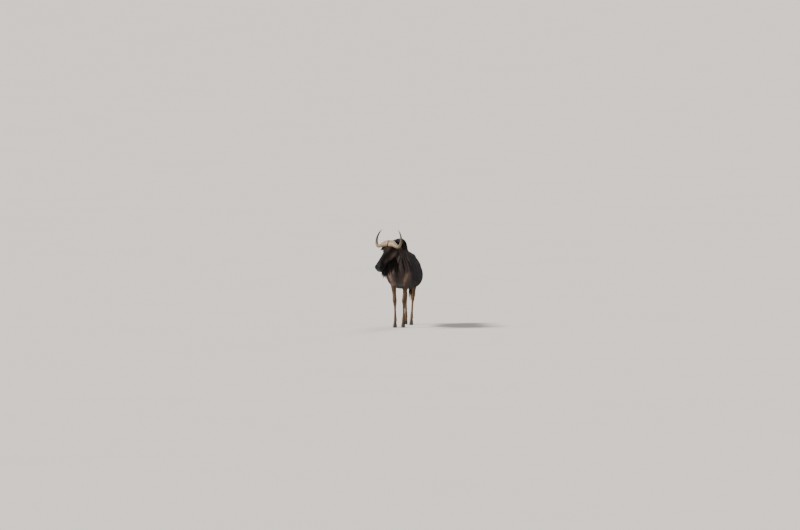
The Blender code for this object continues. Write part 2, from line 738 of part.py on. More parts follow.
def part_body(body):
    """Cuts the whole body into its nodes."""
    neck_base, ahead_of_base = Vector((0, -0.185, 1.18)), Vector((0, -0.90, 0.42)).normalized()
    head_space = head_block(0.0)
    cleared_space = head_block(GAP)

    torso = copy_of(body, "torso")
    for name in LEGS:
        block = leg_block(name, GAP)
        boolean(torso, block, "DIFFERENCE")
        remove(block)
    ahead = half_space("ahead_of_torso", neck_base, ahead_of_base)
    boolean(torso, ahead, "DIFFERENCE")
    remove(ahead)

    neck = copy_of(body, "neck")
    rest = half_space("behind_neck", neck_base + ahead_of_base * GAP, -ahead_of_base)
    boolean(neck, rest, "DIFFERENCE")
    boolean(neck, cleared_space, "DIFFERENCE")

    head = copy_of(body, "head")
    boolean(head, head_space, "INTERSECT")
    remove(rest, head_space, cleared_space)

    legs = []
    for name in LEGS:
        leg = copy_of(body, "leg_" + name)
        block = leg_block(name, 0.0)
        boolean(leg, block, "INTERSECT")
        remove(block)
        legs.append(keep_largest(leg))
    for node in (torso, neck, head):
        keep_largest(node)
    return torso, neck, head, legs


def make_eye(name, side):
    """An eyeball, seated in its socket up to the lids."""
    centre, look, long_axis, short_axis = eye_frame(side)
    to_world = np.stack([ALONG, UP, LEFT])
    axes = np.stack([long_axis, short_axis, look]) @ to_world * EYE_RADIUS
    return ball(name, head_point(*centre), axes, 12, 8)


def ear_rings(side, count=9, half_count=3):
    """A leaf-shaped cup. Each section is a crescent, thicker in its middle."""
    root = head_point(-0.004, 0.030, 0.062 * side)
    droop, back = (0.68, 0.25) if side > 0 else (0.38, -0.30)  # the right ear is held out and forwards
    axis = LEFT * side * 0.66 - SKY * droop - FORWARD * back
    axis /= np.linalg.norm(axis)
    opening = FORWARD * 0.80 - SKY * 0.25 + LEFT * side * 0.25
    opening -= (opening @ axis) * axis
    opening /= np.linalg.norm(opening)
    breadth = np.cross(axis, opening)
    share = np.linspace(-0.16, 1, count)
    knots = np.array([-0.16, 0.0, 0.18, 0.40, 0.62, 0.82, 1.0])
    half = np.array([0.016, 0.019, 0.030, 0.037, 0.033, 0.020, 0.0025])
    wide = curve_through(knots, half[:, None], share)[:, 0]
    deep = wide * np.interp(share, (-0.16, 0.2, 1.0), (1.15, 0.80, 0.30))
    thick = np.interp(share, (-0.16, 0.2, 1.0), (0.012, 0.0055, 0.0022))
    bend = -0.018 * np.clip(share, 0, 1) ** 2
    middle = root + np.multiply.outer(share * EAR_LENGTH, axis) + np.multiply.outer(bend, SKY)
    v = np.linspace(-1, 1, 2 * half_count + 1)
    back = -deep[:, None] * (1 - v**2)
    front = back + thick[:, None] * (1 - 0.55 * v**2)
    ring_v = np.concatenate([v, v[::-1]])
    ring_o = np.concatenate([back, front[:, ::-1]], axis=1)
    return (
        middle[:, None]
        + breadth * (wide[:, None] * ring_v)[..., None]
        + opening * ring_o[..., None]
    )


def horn_rings(side, count=22, around=10):
    """A horn from the boss on the forehead, out and down, then up to a tip that points in."""
    boss = head_point(0.045, 0.094, 0.0)
    share = np.linspace(0, 1, len(HORN))
    at = np.concatenate([np.linspace(0, 0.75, count - 8), np.linspace(0.80, 1, 8)])
    out, up, ahead, wide, thick = curve_through(share, HORN, at).T
    out = out * HORN_REACH / HORN[:, 0].max()
    centres = boss + np.multiply.outer(out * side, LEFT) + np.multiply.outer(up, SKY)
    centres = centres + np.multiply.outer(ahead, FORWARD)
    return tube_rings(centres, wide, thick, ALONG, around)


def dock_rings(count=12, around=10):
    at = np.linspace(0, 1, count)
    y, z, radius = curve_through(np.linspace(0, 1, len(DOCK)), DOCK, at).T
    centres = np.stack([np.zeros(count), y, z], axis=-1)
    return tube_rings(centres, radius, radius, np.array([1.0, 0, 0]), around)


def claw_rings(name, inner_side, count=5, around=9):
    """Half of a cloven hoof: flat sole, flat inner wall, sloping toe. The top follows the coronet."""
    x_foot, y_foot = foot_place(name)
    turn = np.linspace(0, pi, around)
    rings = []
    for share in np.linspace(0, 1, count):
        toe = y_foot - CLAW_LENGTH * 0.60 + 0.030 * share
        heel = y_foot + CLAW_LENGTH * 0.40 - 0.008 * share
        half_width = 0.0335 - 0.0050 * share
        bulge = np.sin(turn) ** 0.75 * (1 - 0.22 * np.clip(np.cos(turn), 0, 1) ** 2)
        x = x_foot + inner_side * (CLEFT + (half_width - CLEFT) * bulge)
        y = (toe + heel) / 2 - (heel - toe) / 2 * np.cos(turn)
        z = share * (coronet_height(y_foot, y) - GAP)
        rings.append(np.stack([x, y, z], axis=-1))
    return np.array(rings)


def lock_rings(path, widths, thicknesses, face):
    """A flat lock: three-cornered sections along its path, flat below and ridged towards the face."""
    tangent = np.gradient(path, axis=0)
    tangent /= np.linalg.norm(tangent, axis=1, keepdims=True)
    thin = face - (face * tangent).sum(1, keepdims=True) * tangent
    thin /= np.linalg.norm(thin, axis=1, keepdims=True)
    wide = np.cross(tangent, thin)
    low = path - thin * thicknesses[:, None] / 2
    high = path + thin * thicknesses[:, None] / 2
    return np.stack([low + wide * widths[:, None] / 2, high, low - wide * widths[:, None] / 2], axis=1)


def add_lock(name, path, width, thick, face):
    """One tapered lock along a path, thickest near its root and pointed at its tip."""
    share = np.linspace(0, 1, len(path))
    taper = np.interp(share, (0, 0.25, 0.7, 1.0), (0.80, 1.0, 0.78, 0.07))
    return loft(name, lock_rings(path, width * taper, thick * taper, face))


def joined_locks(name, core, locks, solver="MANIFOLD"):
    """The locks fused with their core into one closed surface by one Boolean union."""
    group = bpy.data.collections.new(name + "_locks")
    for lock in locks:
        bpy.context.scene.collection.objects.unlink(lock)
        group.objects.link(lock)
    union = core.modifiers.new("locks", "BOOLEAN")
    union.operation = "UNION"
    union.operand_type = "COLLECTION"
    union.collection = group
    union.solver = solver
    evaluated(core)
    remove(*locks)
    bpy.data.collections.remove(group)
    core.name = name
    return core


def lie_along(tree, start, heading, length, count, pull):
    """A walk over the surface from a start: its points and normals. Each step bends to the pull."""
    points, normals = [], []
    place, heading, pull = Vector(start), Vector(heading), Vector(pull)
    for _ in range(count):
        spot, normal, _, _ = tree.find_nearest(place)
        points.append(spot)
        normals.append(normal)
        heading = heading + pull
        heading = (heading - heading.dot(normal) * normal).normalized()
        place = spot + heading * (length / (count - 1))
    return np.array(points), np.array(normals)


def crest_line(tree, y):
    """Points on the ridge of the neck and withers, found from above."""
    x = np.interp(y, NECK[::-1, 0], NECK[::-1, 1])
    starts = [Vector((float(a), float(b), 2.0)) for a, b in zip(x, y)]
    return np.array([tree.ray_cast(start, Vector((0, 0, -1)))[0] for start in starts])


def make_mane(rng, tree):
    """Locks from the nape to behind the withers that rise a little and fall to both sides."""
    along = np.linspace(-0.385, 0.150, 12)
    crest = crest_line(tree, along)
    swell = np.interp(along, (-0.385, -0.30, 0.05, 0.15), (0.6, 1, 1, 0.4))
    core = loft("mane_core", tube_rings(crest, 0.018 * swell, 0.024 * swell, np.array([1.0, 0, 0]), 6))
    locks = []
    for side, count in ((1, 19), (-1, 17)):
        for k in range(count):
            share = (k + 0.5) / count
            y = -0.378 + 0.510 * share + rng.uniform(-0.006, 0.006)
            start = crest_line(tree, [y])[0]
            full = np.interp(share, (0, 0.15, 0.55, 0.85, 1), (0.12, 0.21, 0.27, 0.22, 0.12))
            length = full * rng.uniform(0.80, 1.10)
            heading = (side, rng.uniform(0.0, 0.9), 0.3)
            base, out = lie_along(tree, start, heading, length, 5, (0, 0.05, -0.7))
            tall = 0.046 if k % 3 == 0 else 0.022
            lift = np.array([-0.004, tall + rng.uniform(0, 0.010), 0.6 * tall + 0.010, 0.016, 0.009])
            path = base + out * lift[:, None]
            locks.append(add_lock("mane_lock", path, rng.uniform(0.034, 0.048), 0.014, out))
    return joined_locks("mane", core, locks)


def beard_line(tree, at):
    """The middle line that the beard grows on, from the chin over the throat to the brisket."""
    aims = [(head_point(along, -0.18, 0.0), UP) for along in np.linspace(0.445, 0.170, 8)]
    aims += [((-0.012, -0.90, height), (0, 1, 0)) for height in np.linspace(1.085, 0.930, 6)]
    line = np.array([tree.ray_cast(Vector(start), Vector(way))[0] for start, way in aims])
    for _ in range(2):
        line[1:-1] = (line[:-2] + line[1:-1] + line[2:]) / 3
    line = np.array([tree.find_nearest(Vector(point))[0] for point in line])
    steps = np.concatenate([[0], np.cumsum(np.linalg.norm(np.diff(line, axis=0), axis=1))])
    return curve_through(steps / steps[-1], line, np.atleast_1d(at))


def make_beard(rng, tree):
    """Long locks that hang from the chin, the jaw and the throat down to the brisket."""
    at = np.linspace(0, 1, 20)
    size = np.interp(at, (0, 0.1, 0.6, 1), (0.010, 0.017, 0.017, 0.012))
    core = loft("beard_core", tube_rings(beard_line(tree, at), size, size, LEFT, 6))
    locks = []
    count = 30
    for k in range(count):
        share = (k + 0.5) / count
        row = (-1, 1, 0)[k % 3]
        start = beard_line(tree, share)[0] + LEFT * row * np.interp(share, (0, 0.3, 1), (0.010, 0.022, 0.018))
        length = np.interp(share, (0, 0.15, 0.45, 0.8, 1), (0.12, 0.235, 0.285, 0.165, 0.09))
        length *= rng.uniform(0.85, 1.1)
        fall = np.linspace(0, 1, 5)
        sway = rng.uniform(-0.012, 0.012) + row * 0.016
        swing = np.interp(share, (0, 0.5, 0.7, 1), (0.004, 0.012, 0.040, 0.050)) * np.sin(fall * 2.2)
        path = start + np.multiply.outer(fall * sway, LEFT) - np.multiply.outer(fall * length, SKY)
        path = path + np.multiply.outer(swing, np.array([0, -1.0, 0]))
        path = path + np.multiply.outer(np.sin(fall * 5 + k) * 0.005 * fall, np.array([1.0, 0.4, 0]))
        turn = rng.uniform(-0.6, 0.6)
        face = np.tile(LEFT * cos(turn) + FORWARD * sin(turn), (5, 1))
        locks.append(add_lock("beard_lock", path, rng.uniform(0.034, 0.046), 0.013, face))
    return joined_locks("beard", core, locks)


def make_tail_tuft(rng):
    """The horse-like switch: locks in tiers round the tail bone, down past the hocks."""
    at = np.linspace(0, 1, len(DOCK))
    core = loft("tuft_core", dock_core_rings())
    locks = []
    count = 17
    for k in range(count):
        share = 0.46 + 0.50 * k / (count - 1)
        y, z, radius = curve_through(at, DOCK, np.array([share]))[0]
        turn = 2.4 * k
        way = np.array([cos(turn), sin(turn) * 0.8, 0.0])
        length = rng.uniform(0.26, 0.34)
        fall = np.linspace(0, 1, 5)
        spread = 0.026 * np.sin(fall * 2.3) + 0.014 * fall
        path = np.array([0.0, y, z]) + np.multiply.outer(radius * 0.3 + spread, way)
        path = path - np.multiply.outer(fall * length, SKY)
        path = path + np.multiply.outer(np.sin(fall * 3 + k) * 0.005 * fall, np.array([1.0, 0.3, 0]))
        locks.append(add_lock("tuft_lock", path, rng.uniform(0.038, 0.050), 0.015, np.tile(way, (5, 1))))
    return joined_locks("tail_tuft", core, locks)


def dock_core_rings(count=9, around=8):
    """A sleeve that the switch grows from, round the lower half of the tail bone."""
    at = np.linspace(0.42, 1.06, count)
    y, z, radius = curve_through(np.linspace(0, 1, len(DOCK)), DOCK, at).T
    centres = np.stack([np.zeros(count), y, z], axis=-1)
    swell = radius + np.interp(at, (0.42, 0.55, 1.0, 1.06), (0.002, 0.012, 0.014, 0.004))
    return tube_rings(centres, swell, swell, np.array([1.0, 0, 0]), around)


def cut_clear(obj, cutters, solver="MANIFOLD"):
    for cutter in cutters:
        boolean(obj, cutter, "DIFFERENCE", solver)
    return keep_largest(obj)


def cut_face(head):
    """The nostrils and the line of the mouth."""
    for side in (1, -1):
        tilt = 0.55
        long_axis = (cos(tilt), sin(tilt), 0.25 * side)
        short_axis = (-sin(tilt), cos(tilt), 0.0)
        axes = np.array([long_axis, short_axis, (0.35, 0.0, 0.93 * side)]) * [[0.0225], [0.0105], [0.018]]
        to_world = np.stack([ALONG, UP, LEFT])
        hole = ball("nostril_cutter", head_point(0.486, 0.024, 0.066 * side), axes @ to_world, 12, 8)
        hole.hide_render = True
        boolean(head, hole, "DIFFERENCE")
        remove(hole)
    lip = mouth_blade()
    boolean(head, lip, "DIFFERENCE")
    remove(lip)
    return head


def mouth_blade(count=13):
    """A thin curved blade that scores the mouth line round the muzzle."""
    turn = np.linspace(-1, 1, count)
    along = 0.395 + 0.124 * np.cos(turn * pi / 2) ** 0.55
    left = 0.066 * np.sin(turn * pi / 2)
    up = -0.037 - 0.010 * np.abs(turn) ** 3
    outer = head_point(along + 0.012, up, left * 1.25)
    inner = head_point(along - 0.008, up, left * 0.84)
    half = 0.0013
    rings = np.stack(
        [outer + UP * half, inner + UP * half * 0.6, inner - UP * half * 0.6, outer - UP * half], axis=1
    )
    blade = loft("mouth_blade", rings)
    blade.hide_render = True
    return blade


def centre_on_floor(objects):
    """Moves all nodes under one empty so that the middle of their box's base is the origin."""
    points = np.concatenate([points_of(obj.data) for obj in objects])
    low, high = points.min(0), points.max(0)
    anchor = bpy.data.objects.new("wildebeest", None)
    bpy.context.scene.collection.objects.link(anchor)
    anchor.location = (-(low[0] + high[0]) / 2, -(low[1] + high[1]) / 2, 0)
    for obj in objects:
        obj.parent = anchor
    return anchor


def main():
    for obj in list(bpy.data.objects):
        bpy.data.objects.remove(obj)
    rng = np.random.default_rng(7)
    body, tree = whole_body()
    eyes = [make_eye("eye_left", 1), make_eye("eye_right", -1)]
    for eye in eyes:
        socket = inflated(eye, GAP)
        boolean(body, socket, "DIFFERENCE")
        remove(socket)
    cut_face(body)
    keep_largest(body)
    skin = inflated(body, OFFSET)
    torso, neck, head, legs = part_body(body)
    remove(body)

    horns = [loft("horn_left", horn_rings(1)), loft("horn_right", horn_rings(-1))]
    ears = [loft("ear_left", ear_rings(1)), loft("ear_right", ear_rings(-1))]
    tail = loft("tail", dock_rings())
    for node in (*horns, *ears, tail):
        cut_clear(node, [skin])
    claws = []
    for name in LEGS:
        for place, way in (("outer", 1), ("inner", -1)):
            inner_side = way * LEGS[name][1]
            claws.append(loft(f"claw_{name}_{place}", claw_rings(name, inner_side)))

    near = [inflated(node, OFFSET) for node in (*horns, *ears)]
    bone = inflated(tail, OFFSET)
    mane = cut_clear(make_mane(rng, tree), [skin, *near])
    beard = cut_clear(make_beard(rng, tree), [skin, *near])
    tuft = cut_clear(make_tail_tuft(rng), [skin, bone])
    remove(skin, bone, *near)

    for node in (torso, neck, *ears, tail):
        finish(node, COAT)
    finish(head, FACE)
    for leg in legs:
        finish(leg, SHANK)
    for node in (mane, beard, tuft):
        finish(node, HAIR)
    for horn in horns:
        finish(horn, HORN_KERATIN)
    for claw in claws:
        finish(claw, HOOF_KERATIN)
    for eye in eyes:
        finish(eye, EYE_GLOSS)
    centre_on_floor([torso, neck, head, *legs, *horns, *ears, *eyes, *claws, tail, mane, beard, tuft])


main()
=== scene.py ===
# A wildebeest bull at life size, with skin, short coat, mane, beard, switch, horns, eyes and hooves.
# Shapes are worked out in the model's own metres, facing -Y, and moved onto the CAD frame at the end.
from math import cos, pi, radians, sin

import bmesh
import bpy
import numpy as np
from mathutils import Matrix, Vector
from mathutils.bvhtree import BVHTree


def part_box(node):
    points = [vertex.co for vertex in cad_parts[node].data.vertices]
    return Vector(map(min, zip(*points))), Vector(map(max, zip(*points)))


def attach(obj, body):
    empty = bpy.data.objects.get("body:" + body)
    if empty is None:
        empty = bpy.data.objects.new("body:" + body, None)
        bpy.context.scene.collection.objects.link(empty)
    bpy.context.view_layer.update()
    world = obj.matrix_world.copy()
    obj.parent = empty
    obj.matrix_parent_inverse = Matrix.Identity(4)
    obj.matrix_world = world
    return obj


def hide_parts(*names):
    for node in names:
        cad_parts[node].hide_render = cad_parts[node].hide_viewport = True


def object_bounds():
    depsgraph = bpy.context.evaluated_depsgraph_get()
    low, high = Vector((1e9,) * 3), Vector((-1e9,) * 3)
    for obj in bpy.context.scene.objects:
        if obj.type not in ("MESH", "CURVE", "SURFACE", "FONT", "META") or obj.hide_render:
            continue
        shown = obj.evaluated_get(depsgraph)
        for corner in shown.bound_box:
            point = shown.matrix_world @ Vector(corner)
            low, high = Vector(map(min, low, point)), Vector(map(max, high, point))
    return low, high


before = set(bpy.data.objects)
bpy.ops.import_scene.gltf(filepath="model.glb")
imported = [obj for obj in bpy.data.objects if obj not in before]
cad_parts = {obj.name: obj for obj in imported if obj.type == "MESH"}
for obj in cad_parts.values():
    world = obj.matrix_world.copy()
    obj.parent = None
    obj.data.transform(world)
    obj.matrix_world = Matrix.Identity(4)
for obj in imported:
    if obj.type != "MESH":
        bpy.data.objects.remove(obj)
cadLow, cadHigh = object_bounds()
thin = 1

sky = np.array([0.0, 0.0, 1.0])
headPose = {"turn": radians(38), "pitch": radians(48), "length": 0.52, "poll": np.array([-0.034, -0.378, 1.332])}
eyeForm = {"radius": 0.0215, "lid": 0.0030, "place": (0.166, 0.048, 0.0590), "look": (0.10, 0.20, 0.97)}

# trunk: y, top, bottom, half width, height of the widest point, how far the top narrows
trunkStations = np.array([
    (-0.292, 1.060, 0.890, 0.050, 0.970, 0.00), (-0.270, 1.130, 0.830, 0.095, 0.955, 0.05),
    (-0.215, 1.240, 0.762, 0.140, 0.940, 0.15), (-0.110, 1.350, 0.708, 0.176, 0.916, 0.36),
    (0.010, 1.402, 0.680, 0.206, 0.888, 0.50), (0.130, 1.372, 0.655, 0.234, 0.866, 0.50),
    (0.280, 1.286, 0.626, 0.260, 0.844, 0.48), (0.440, 1.226, 0.600, 0.280, 0.828, 0.45),
    (0.600, 1.198, 0.592, 0.284, 0.824, 0.42), (0.760, 1.188, 0.640, 0.246, 0.850, 0.42),
    (0.900, 1.180, 0.742, 0.190, 0.910, 0.40), (1.020, 1.148, 0.838, 0.146, 0.975, 0.32),
    (1.100, 1.092, 0.914, 0.108, 1.002, 0.16), (1.135, 1.040, 0.972, 0.050, 1.005, 0.00)])
# neck: y, sideways shift, top, bottom, half width
neckStations = np.array([
    (0.100, 0.000, 1.370, 0.900, 0.120), (-0.020, 0.000, 1.398, 0.858, 0.132),
    (-0.120, -0.003, 1.392, 0.868, 0.126), (-0.200, -0.010, 1.382, 0.915, 0.115),
    (-0.270, -0.020, 1.376, 0.990, 0.103), (-0.330, -0.031, 1.372, 1.070, 0.094),
    (-0.385, -0.043, 1.358, 1.138, 0.083), (-0.425, -0.054, 1.310, 1.200, 0.050)])
# head: share of its length from the poll, top, bottom, half width, squareness
headStations = np.array([
    (-0.085, 0.040, -0.055, 0.046, 2.0), (-0.040, 0.074, -0.088, 0.066, 2.1),
    (0.050, 0.090, -0.116, 0.078, 2.3), (0.170, 0.093, -0.132, 0.083, 2.5),
    (0.290, 0.088, -0.136, 0.080, 2.6), (0.390, 0.083, -0.122, 0.069, 2.6),
    (0.500, 0.081, -0.098, 0.056, 2.6), (0.620, 0.080, -0.080, 0.050, 2.6),
    (0.730, 0.078, -0.075, 0.053, 2.7), (0.830, 0.072, -0.077, 0.063, 2.8),
    (0.910, 0.062, -0.078, 0.069, 3.0), (0.970, 0.045, -0.070, 0.064, 3.0),
    (1.000, 0.020, -0.050, 0.048, 2.6)])
# legs: z, y, x, half depth fore and aft, half width
frontLegStations = np.array([
    (1.040, -0.030, 0.110, 0.095, 0.050), (0.900, -0.005, 0.122, 0.104, 0.062),
    (0.810, 0.018, 0.117, 0.090, 0.060), (0.730, 0.010, 0.106, 0.069, 0.050),
    (0.630, -0.008, 0.095, 0.050, 0.041), (0.530, -0.016, 0.086, 0.038, 0.033),
    (0.465, -0.020, 0.081, 0.036, 0.034), (0.425, -0.020, 0.079, 0.038, 0.036),
    (0.385, -0.013, 0.078, 0.031, 0.029), (0.335, -0.006, 0.077, 0.0255, 0.0215),
    (0.250, -0.003, 0.076, 0.0240, 0.0190), (0.180, 0.000, 0.075, 0.0270, 0.0215),
    (0.138, 0.000, 0.074, 0.0310, 0.0265), (0.104, -0.013, 0.074, 0.0255, 0.0255),
    (0.075, -0.025, 0.074, 0.0270, 0.0285), (0.045, -0.034, 0.074, 0.0320, 0.0320),
    (0.022, -0.040, 0.074, 0.0300, 0.0300)])
hindLegStations = np.array([
    (1.060, 0.930, 0.080, 0.130, 0.052), (0.950, 0.925, 0.102, 0.168, 0.080),
    (0.850, 0.915, 0.112, 0.150, 0.074), (0.770, 0.905, 0.110, 0.118, 0.061),
    (0.690, 0.935, 0.100, 0.091, 0.050), (0.610, 0.978, 0.088, 0.067, 0.040),
    (0.550, 1.016, 0.080, 0.053, 0.034), (0.508, 1.042, 0.076, 0.050, 0.031),
    (0.468, 1.046, 0.074, 0.044, 0.0320), (0.425, 1.040, 0.073, 0.036, 0.0280),
    (0.365, 1.034, 0.072, 0.0280, 0.0215), (0.265, 1.032, 0.071, 0.0255, 0.0195),
    (0.185, 1.032, 0.070, 0.0280, 0.0220), (0.142, 1.030, 0.070, 0.0315, 0.0265),
    (0.106, 1.016, 0.070, 0.0255, 0.0255), (0.076, 1.004, 0.070, 0.0270, 0.0285),
    (0.046, 0.995, 0.070, 0.0320, 0.0320), (0.022, 0.989, 0.070, 0.0300, 0.0300)])
# tail bone: y, z, radius
dockStations = np.array([
    (1.060, 1.110, 0.034), (1.130, 1.086, 0.032), (1.172, 1.020, 0.027), (1.190, 0.930, 0.022),
    (1.194, 0.830, 0.018), (1.190, 0.720, 0.014), (1.184, 0.640, 0.009)])
# horn, from the boss outwards: sideways, up, forward, half width along the face, half thickness
hornStations = np.array([
    (0.0065, 0.004, 0.002, 0.043, 0.021), (0.020, 0.004, 0.002, 0.056, 0.033),
    (0.045, 0.004, 0.002, 0.060, 0.037), (0.090, -0.001, 0.004, 0.054, 0.037),
    (0.145, -0.017, 0.012, 0.040, 0.032), (0.205, -0.040, 0.020, 0.030, 0.026),
    (0.262, -0.046, 0.022, 0.026, 0.0235), (0.302, -0.014, 0.018, 0.0225, 0.0210),
    (0.315, 0.046, 0.010, 0.0185, 0.0180), (0.302, 0.108, 0.002, 0.0145, 0.0145),
    (0.272, 0.160, -0.006, 0.0105, 0.0105), (0.236, 0.198, -0.012, 0.0065, 0.0065),
    (0.208, 0.218, -0.015, 0.0020, 0.0020)])
# each leg: its stations, its side, how far its foot steps back and how far it stands out
legs = {
    "front_left": (frontLegStations, 1, 0.012, -0.014), "front_right": (frontLegStations, -1, -0.030, -0.008),
    "hind_left": (hindLegStations, 1, -0.160, -0.014), "hind_right": (hindLegStations, -1, 0.030, -0.006)}
footForm = {"stepFrom": 0.86, "coronet": 0.056, "slope": -0.30, "frontAhead": -0.037, "hindAhead": 0.992}

# muscles and hollows: place, radii, height. Those of the trunk and the head are mirrored
trunkForms = (
    ((0.130, -0.020, 1.200), (0.06, 0.06, 0.14), 0.014), ((0.190, 0.040, 0.960), (0.06, 0.085, 0.10), 0.018),
    ((0.135, -0.200, 0.985), (0.07, 0.07, 0.11), 0.012), ((0.215, 0.175, 1.050), (0.07, 0.035, 0.16), -0.011),
    ((0.120, 0.090, 0.765), (0.05, 0.03, 0.05), 0.012), ((0.240, 0.440, 0.820), (0.08, 0.16, 0.13), 0.004),
    ((0.185, 0.735, 1.020), (0.07, 0.06, 0.09), -0.018), ((0.120, 0.810, 1.125), (0.05, 0.05, 0.045), 0.018),
    ((0.175, 0.950, 0.930), (0.07, 0.09, 0.14), 0.014), ((0.165, 0.800, 0.800), (0.05, 0.05, 0.06), 0.018),
    ((0.065, 1.110, 1.040), (0.04, 0.04, 0.05), 0.016), ((0.060, -0.255, 0.900), (0.04, 0.05, 0.08), 0.014),
    ((0.000, -0.285, 0.930), (0.014, 0.06, 0.10), -0.014), ((0.090, -0.270, 1.180), (0.03, 0.06, 0.09), -0.010))
frontLegForms = (
    ((0.140, 0.020, 0.720), (0.05, 0.035, 0.09), 0.010), ((0.095, -0.070, 0.690), (0.05, 0.030, 0.08), 0.008),
    ((0.080, -0.055, 0.428), (0.03, 0.018, 0.030), 0.006), ((0.079, 0.020, 0.418), (0.02, 0.014, 0.022), 0.006),
    ((0.076, 0.012, 0.270), (0.012, 0.012, 0.080), 0.003))
hindLegForms = (
    ((0.122, 0.860, 0.700), (0.05, 0.040, 0.07), 0.010), ((0.101, 1.040, 0.690), (0.05, 0.030, 0.09), 0.008),
    ((0.076, 1.092, 0.508), (0.02, 0.024, 0.030), 0.012), ((0.083, 1.030, 0.580), (0.05, 0.016, 0.050), -0.007),
    ((0.074, 1.000, 0.450), (0.03, 0.018, 0.030), 0.004), ((0.071, 1.052, 0.290), (0.012, 0.012, 0.090), 0.003))
# along, up and out in the head's own frame
headForms = (
    ((0.150, 0.068, 0.072), (0.040, 0.020, 0.032), 0.014), ((0.205, 0.022, 0.068), (0.060, 0.009, 0.028), 0.006),
    ((0.275, 0.000, 0.058), (0.070, 0.011, 0.026), 0.007), ((0.120, -0.050, 0.080), (0.055, 0.052, 0.032), 0.012),
    ((0.200, -0.095, 0.050), (0.060, 0.020, 0.040), 0.006), ((0.295, -0.040, 0.056), (0.055, 0.022, 0.028), -0.009),
    ((0.262, 0.044, 0.058), (0.050, 0.018, 0.026), -0.009), ((0.070, 0.050, 0.078), (0.035, 0.030, 0.026), -0.006),
    ((0.478, 0.028, 0.054), (0.030, 0.022, 0.024), 0.013), ((0.445, -0.014, 0.062), (0.045, 0.013, 0.024), 0.008),
    ((0.455, -0.050, 0.056), (0.045, 0.010, 0.024), 0.005), ((0.470, -0.070, 0.018), (0.028, 0.018, 0.028), 0.008),
    ((0.512, 0.002, 0.000), (0.016, 0.026, 0.022), -0.004), ((0.130, 0.095, 0.000), (0.040, 0.030, 0.030), -0.006),
    ((0.300, 0.085, 0.000), (0.120, 0.024, 0.022), 0.008))


# ---- sums that several pieces share

def curveThrough(knots, values, at):
    # cubic pieces through the knots, with each knot's slope taken from its neighbours
    order = np.argsort(knots)
    knots, values = knots[order], values[order]
    slopes = np.gradient(values, knots, axis=0)
    piece = np.clip(np.searchsorted(knots, at) - 1, 0, len(knots) - 2)
    width = (knots[piece + 1] - knots[piece])[:, None]
    t = (at - knots[piece])[:, None] / width
    start, end = values[piece], values[piece + 1]
    leave, arrive = slopes[piece] * width, slopes[piece + 1] * width
    return (start * (1 + 2 * t) * (1 - t) ** 2 + leave * t * (1 - t) ** 2
            + end * t * t * (3 - 2 * t) + arrive * t * t * (t - 1))


def bendPower(value, squareness):
    return np.sign(value) * np.abs(value) ** (2 / squareness)


def smoothStep(low, high, value):
    share = np.clip((value - low) / (high - low), 0, 1)
    return share * share * (3 - 2 * share)


def bell(value, middle, width):
    return np.exp(-(((value - middle) / width) ** 2))


def unit(vectors):
    return vectors / np.maximum(np.linalg.norm(vectors, axis=-1, keepdims=True), 1e-9)


def patchNoise(points, scale, seed=0):
    # value noise from -1 to 1: hashed values at the corners of a lattice, blended by a smooth step
    place = points * scale + 31.7
    cell = np.floor(place).astype(np.int64)
    part = place - cell
    part = part * part * (3 - 2 * part)
    total = np.zeros(len(points))
    for corner in range(8):
        offset = np.array([corner & 1, corner >> 1 & 1, corner >> 2 & 1])
        spot = cell + offset
        mixed = (spot[:, 0] * 73856093) ^ (spot[:, 1] * 19349663) ^ (spot[:, 2] * 83492791) ^ (seed * 97561)
        mixed = (mixed & 0xFFFFFFFF) * 1274126177 & 0xFFFFFFFF
        mixed = (mixed ^ (mixed >> 15)) * 668265263 & 0xFFFFFFFF
        total += (mixed / 0x7FFFFFFF - 1) * np.prod(np.where(offset, part, 1 - part), axis=1)
    return total


def headAxes():
    # along the face, up out of the forehead, and to the head's left
    ahead = np.array([-sin(headPose["turn"]), -cos(headPose["turn"]), 0.0])
    face = ahead * cos(headPose["pitch"]) - sky * sin(headPose["pitch"])
    brow = ahead * sin(headPose["pitch"]) + sky * cos(headPose["pitch"])
    return face, brow, np.array([cos(headPose["turn"]), -sin(headPose["turn"]), 0.0]), ahead


faceWay, browWay, leftWay, aheadWay = headAxes()
headBasis = np.stack([faceWay, browWay, leftWay])


def headPoint(along, up, left):
    place = np.multiply.outer(along, faceWay) + np.multiply.outer(up, browWay) + np.multiply.outer(left, leftWay)
    return headPose["poll"] + place


def inHead(points):
    return (points - headPose["poll"]) @ headBasis.T


def eyeFrame(side):
    # centre, way it looks, long axis and short axis, all in the head's frame
    centre = np.array(eyeForm["place"]) * (1, 1, side)
    look = unit(np.array(eyeForm["look"]) * (1, 1, side))
    longWay = np.array([1.0, -0.22, 0.0])
    longWay = unit(longWay - (longWay @ look) * look)
    return centre, look, longWay, np.cross(look, longWay) * side


def stepOf(z):
    return smoothStep(footForm["stepFrom"], 0.05, z)


def footPlace(name):
    stations, side, step, out = legs[name]
    base = footForm["hindAhead"] if name.startswith("hind") else footForm["frontAhead"]
    moved = float(stepOf(0.05))
    return side * (stations[-2, 2] + out * moved), base + step * moved


eyeLow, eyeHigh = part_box("eye_left")
shift = (np.array(eyeLow) + np.array(eyeHigh)) / 2 - headPoint(*eyeFrame(1)[0])  # onto the CAD frame
shift[2] = 0.0


# ---- meshes from arrays

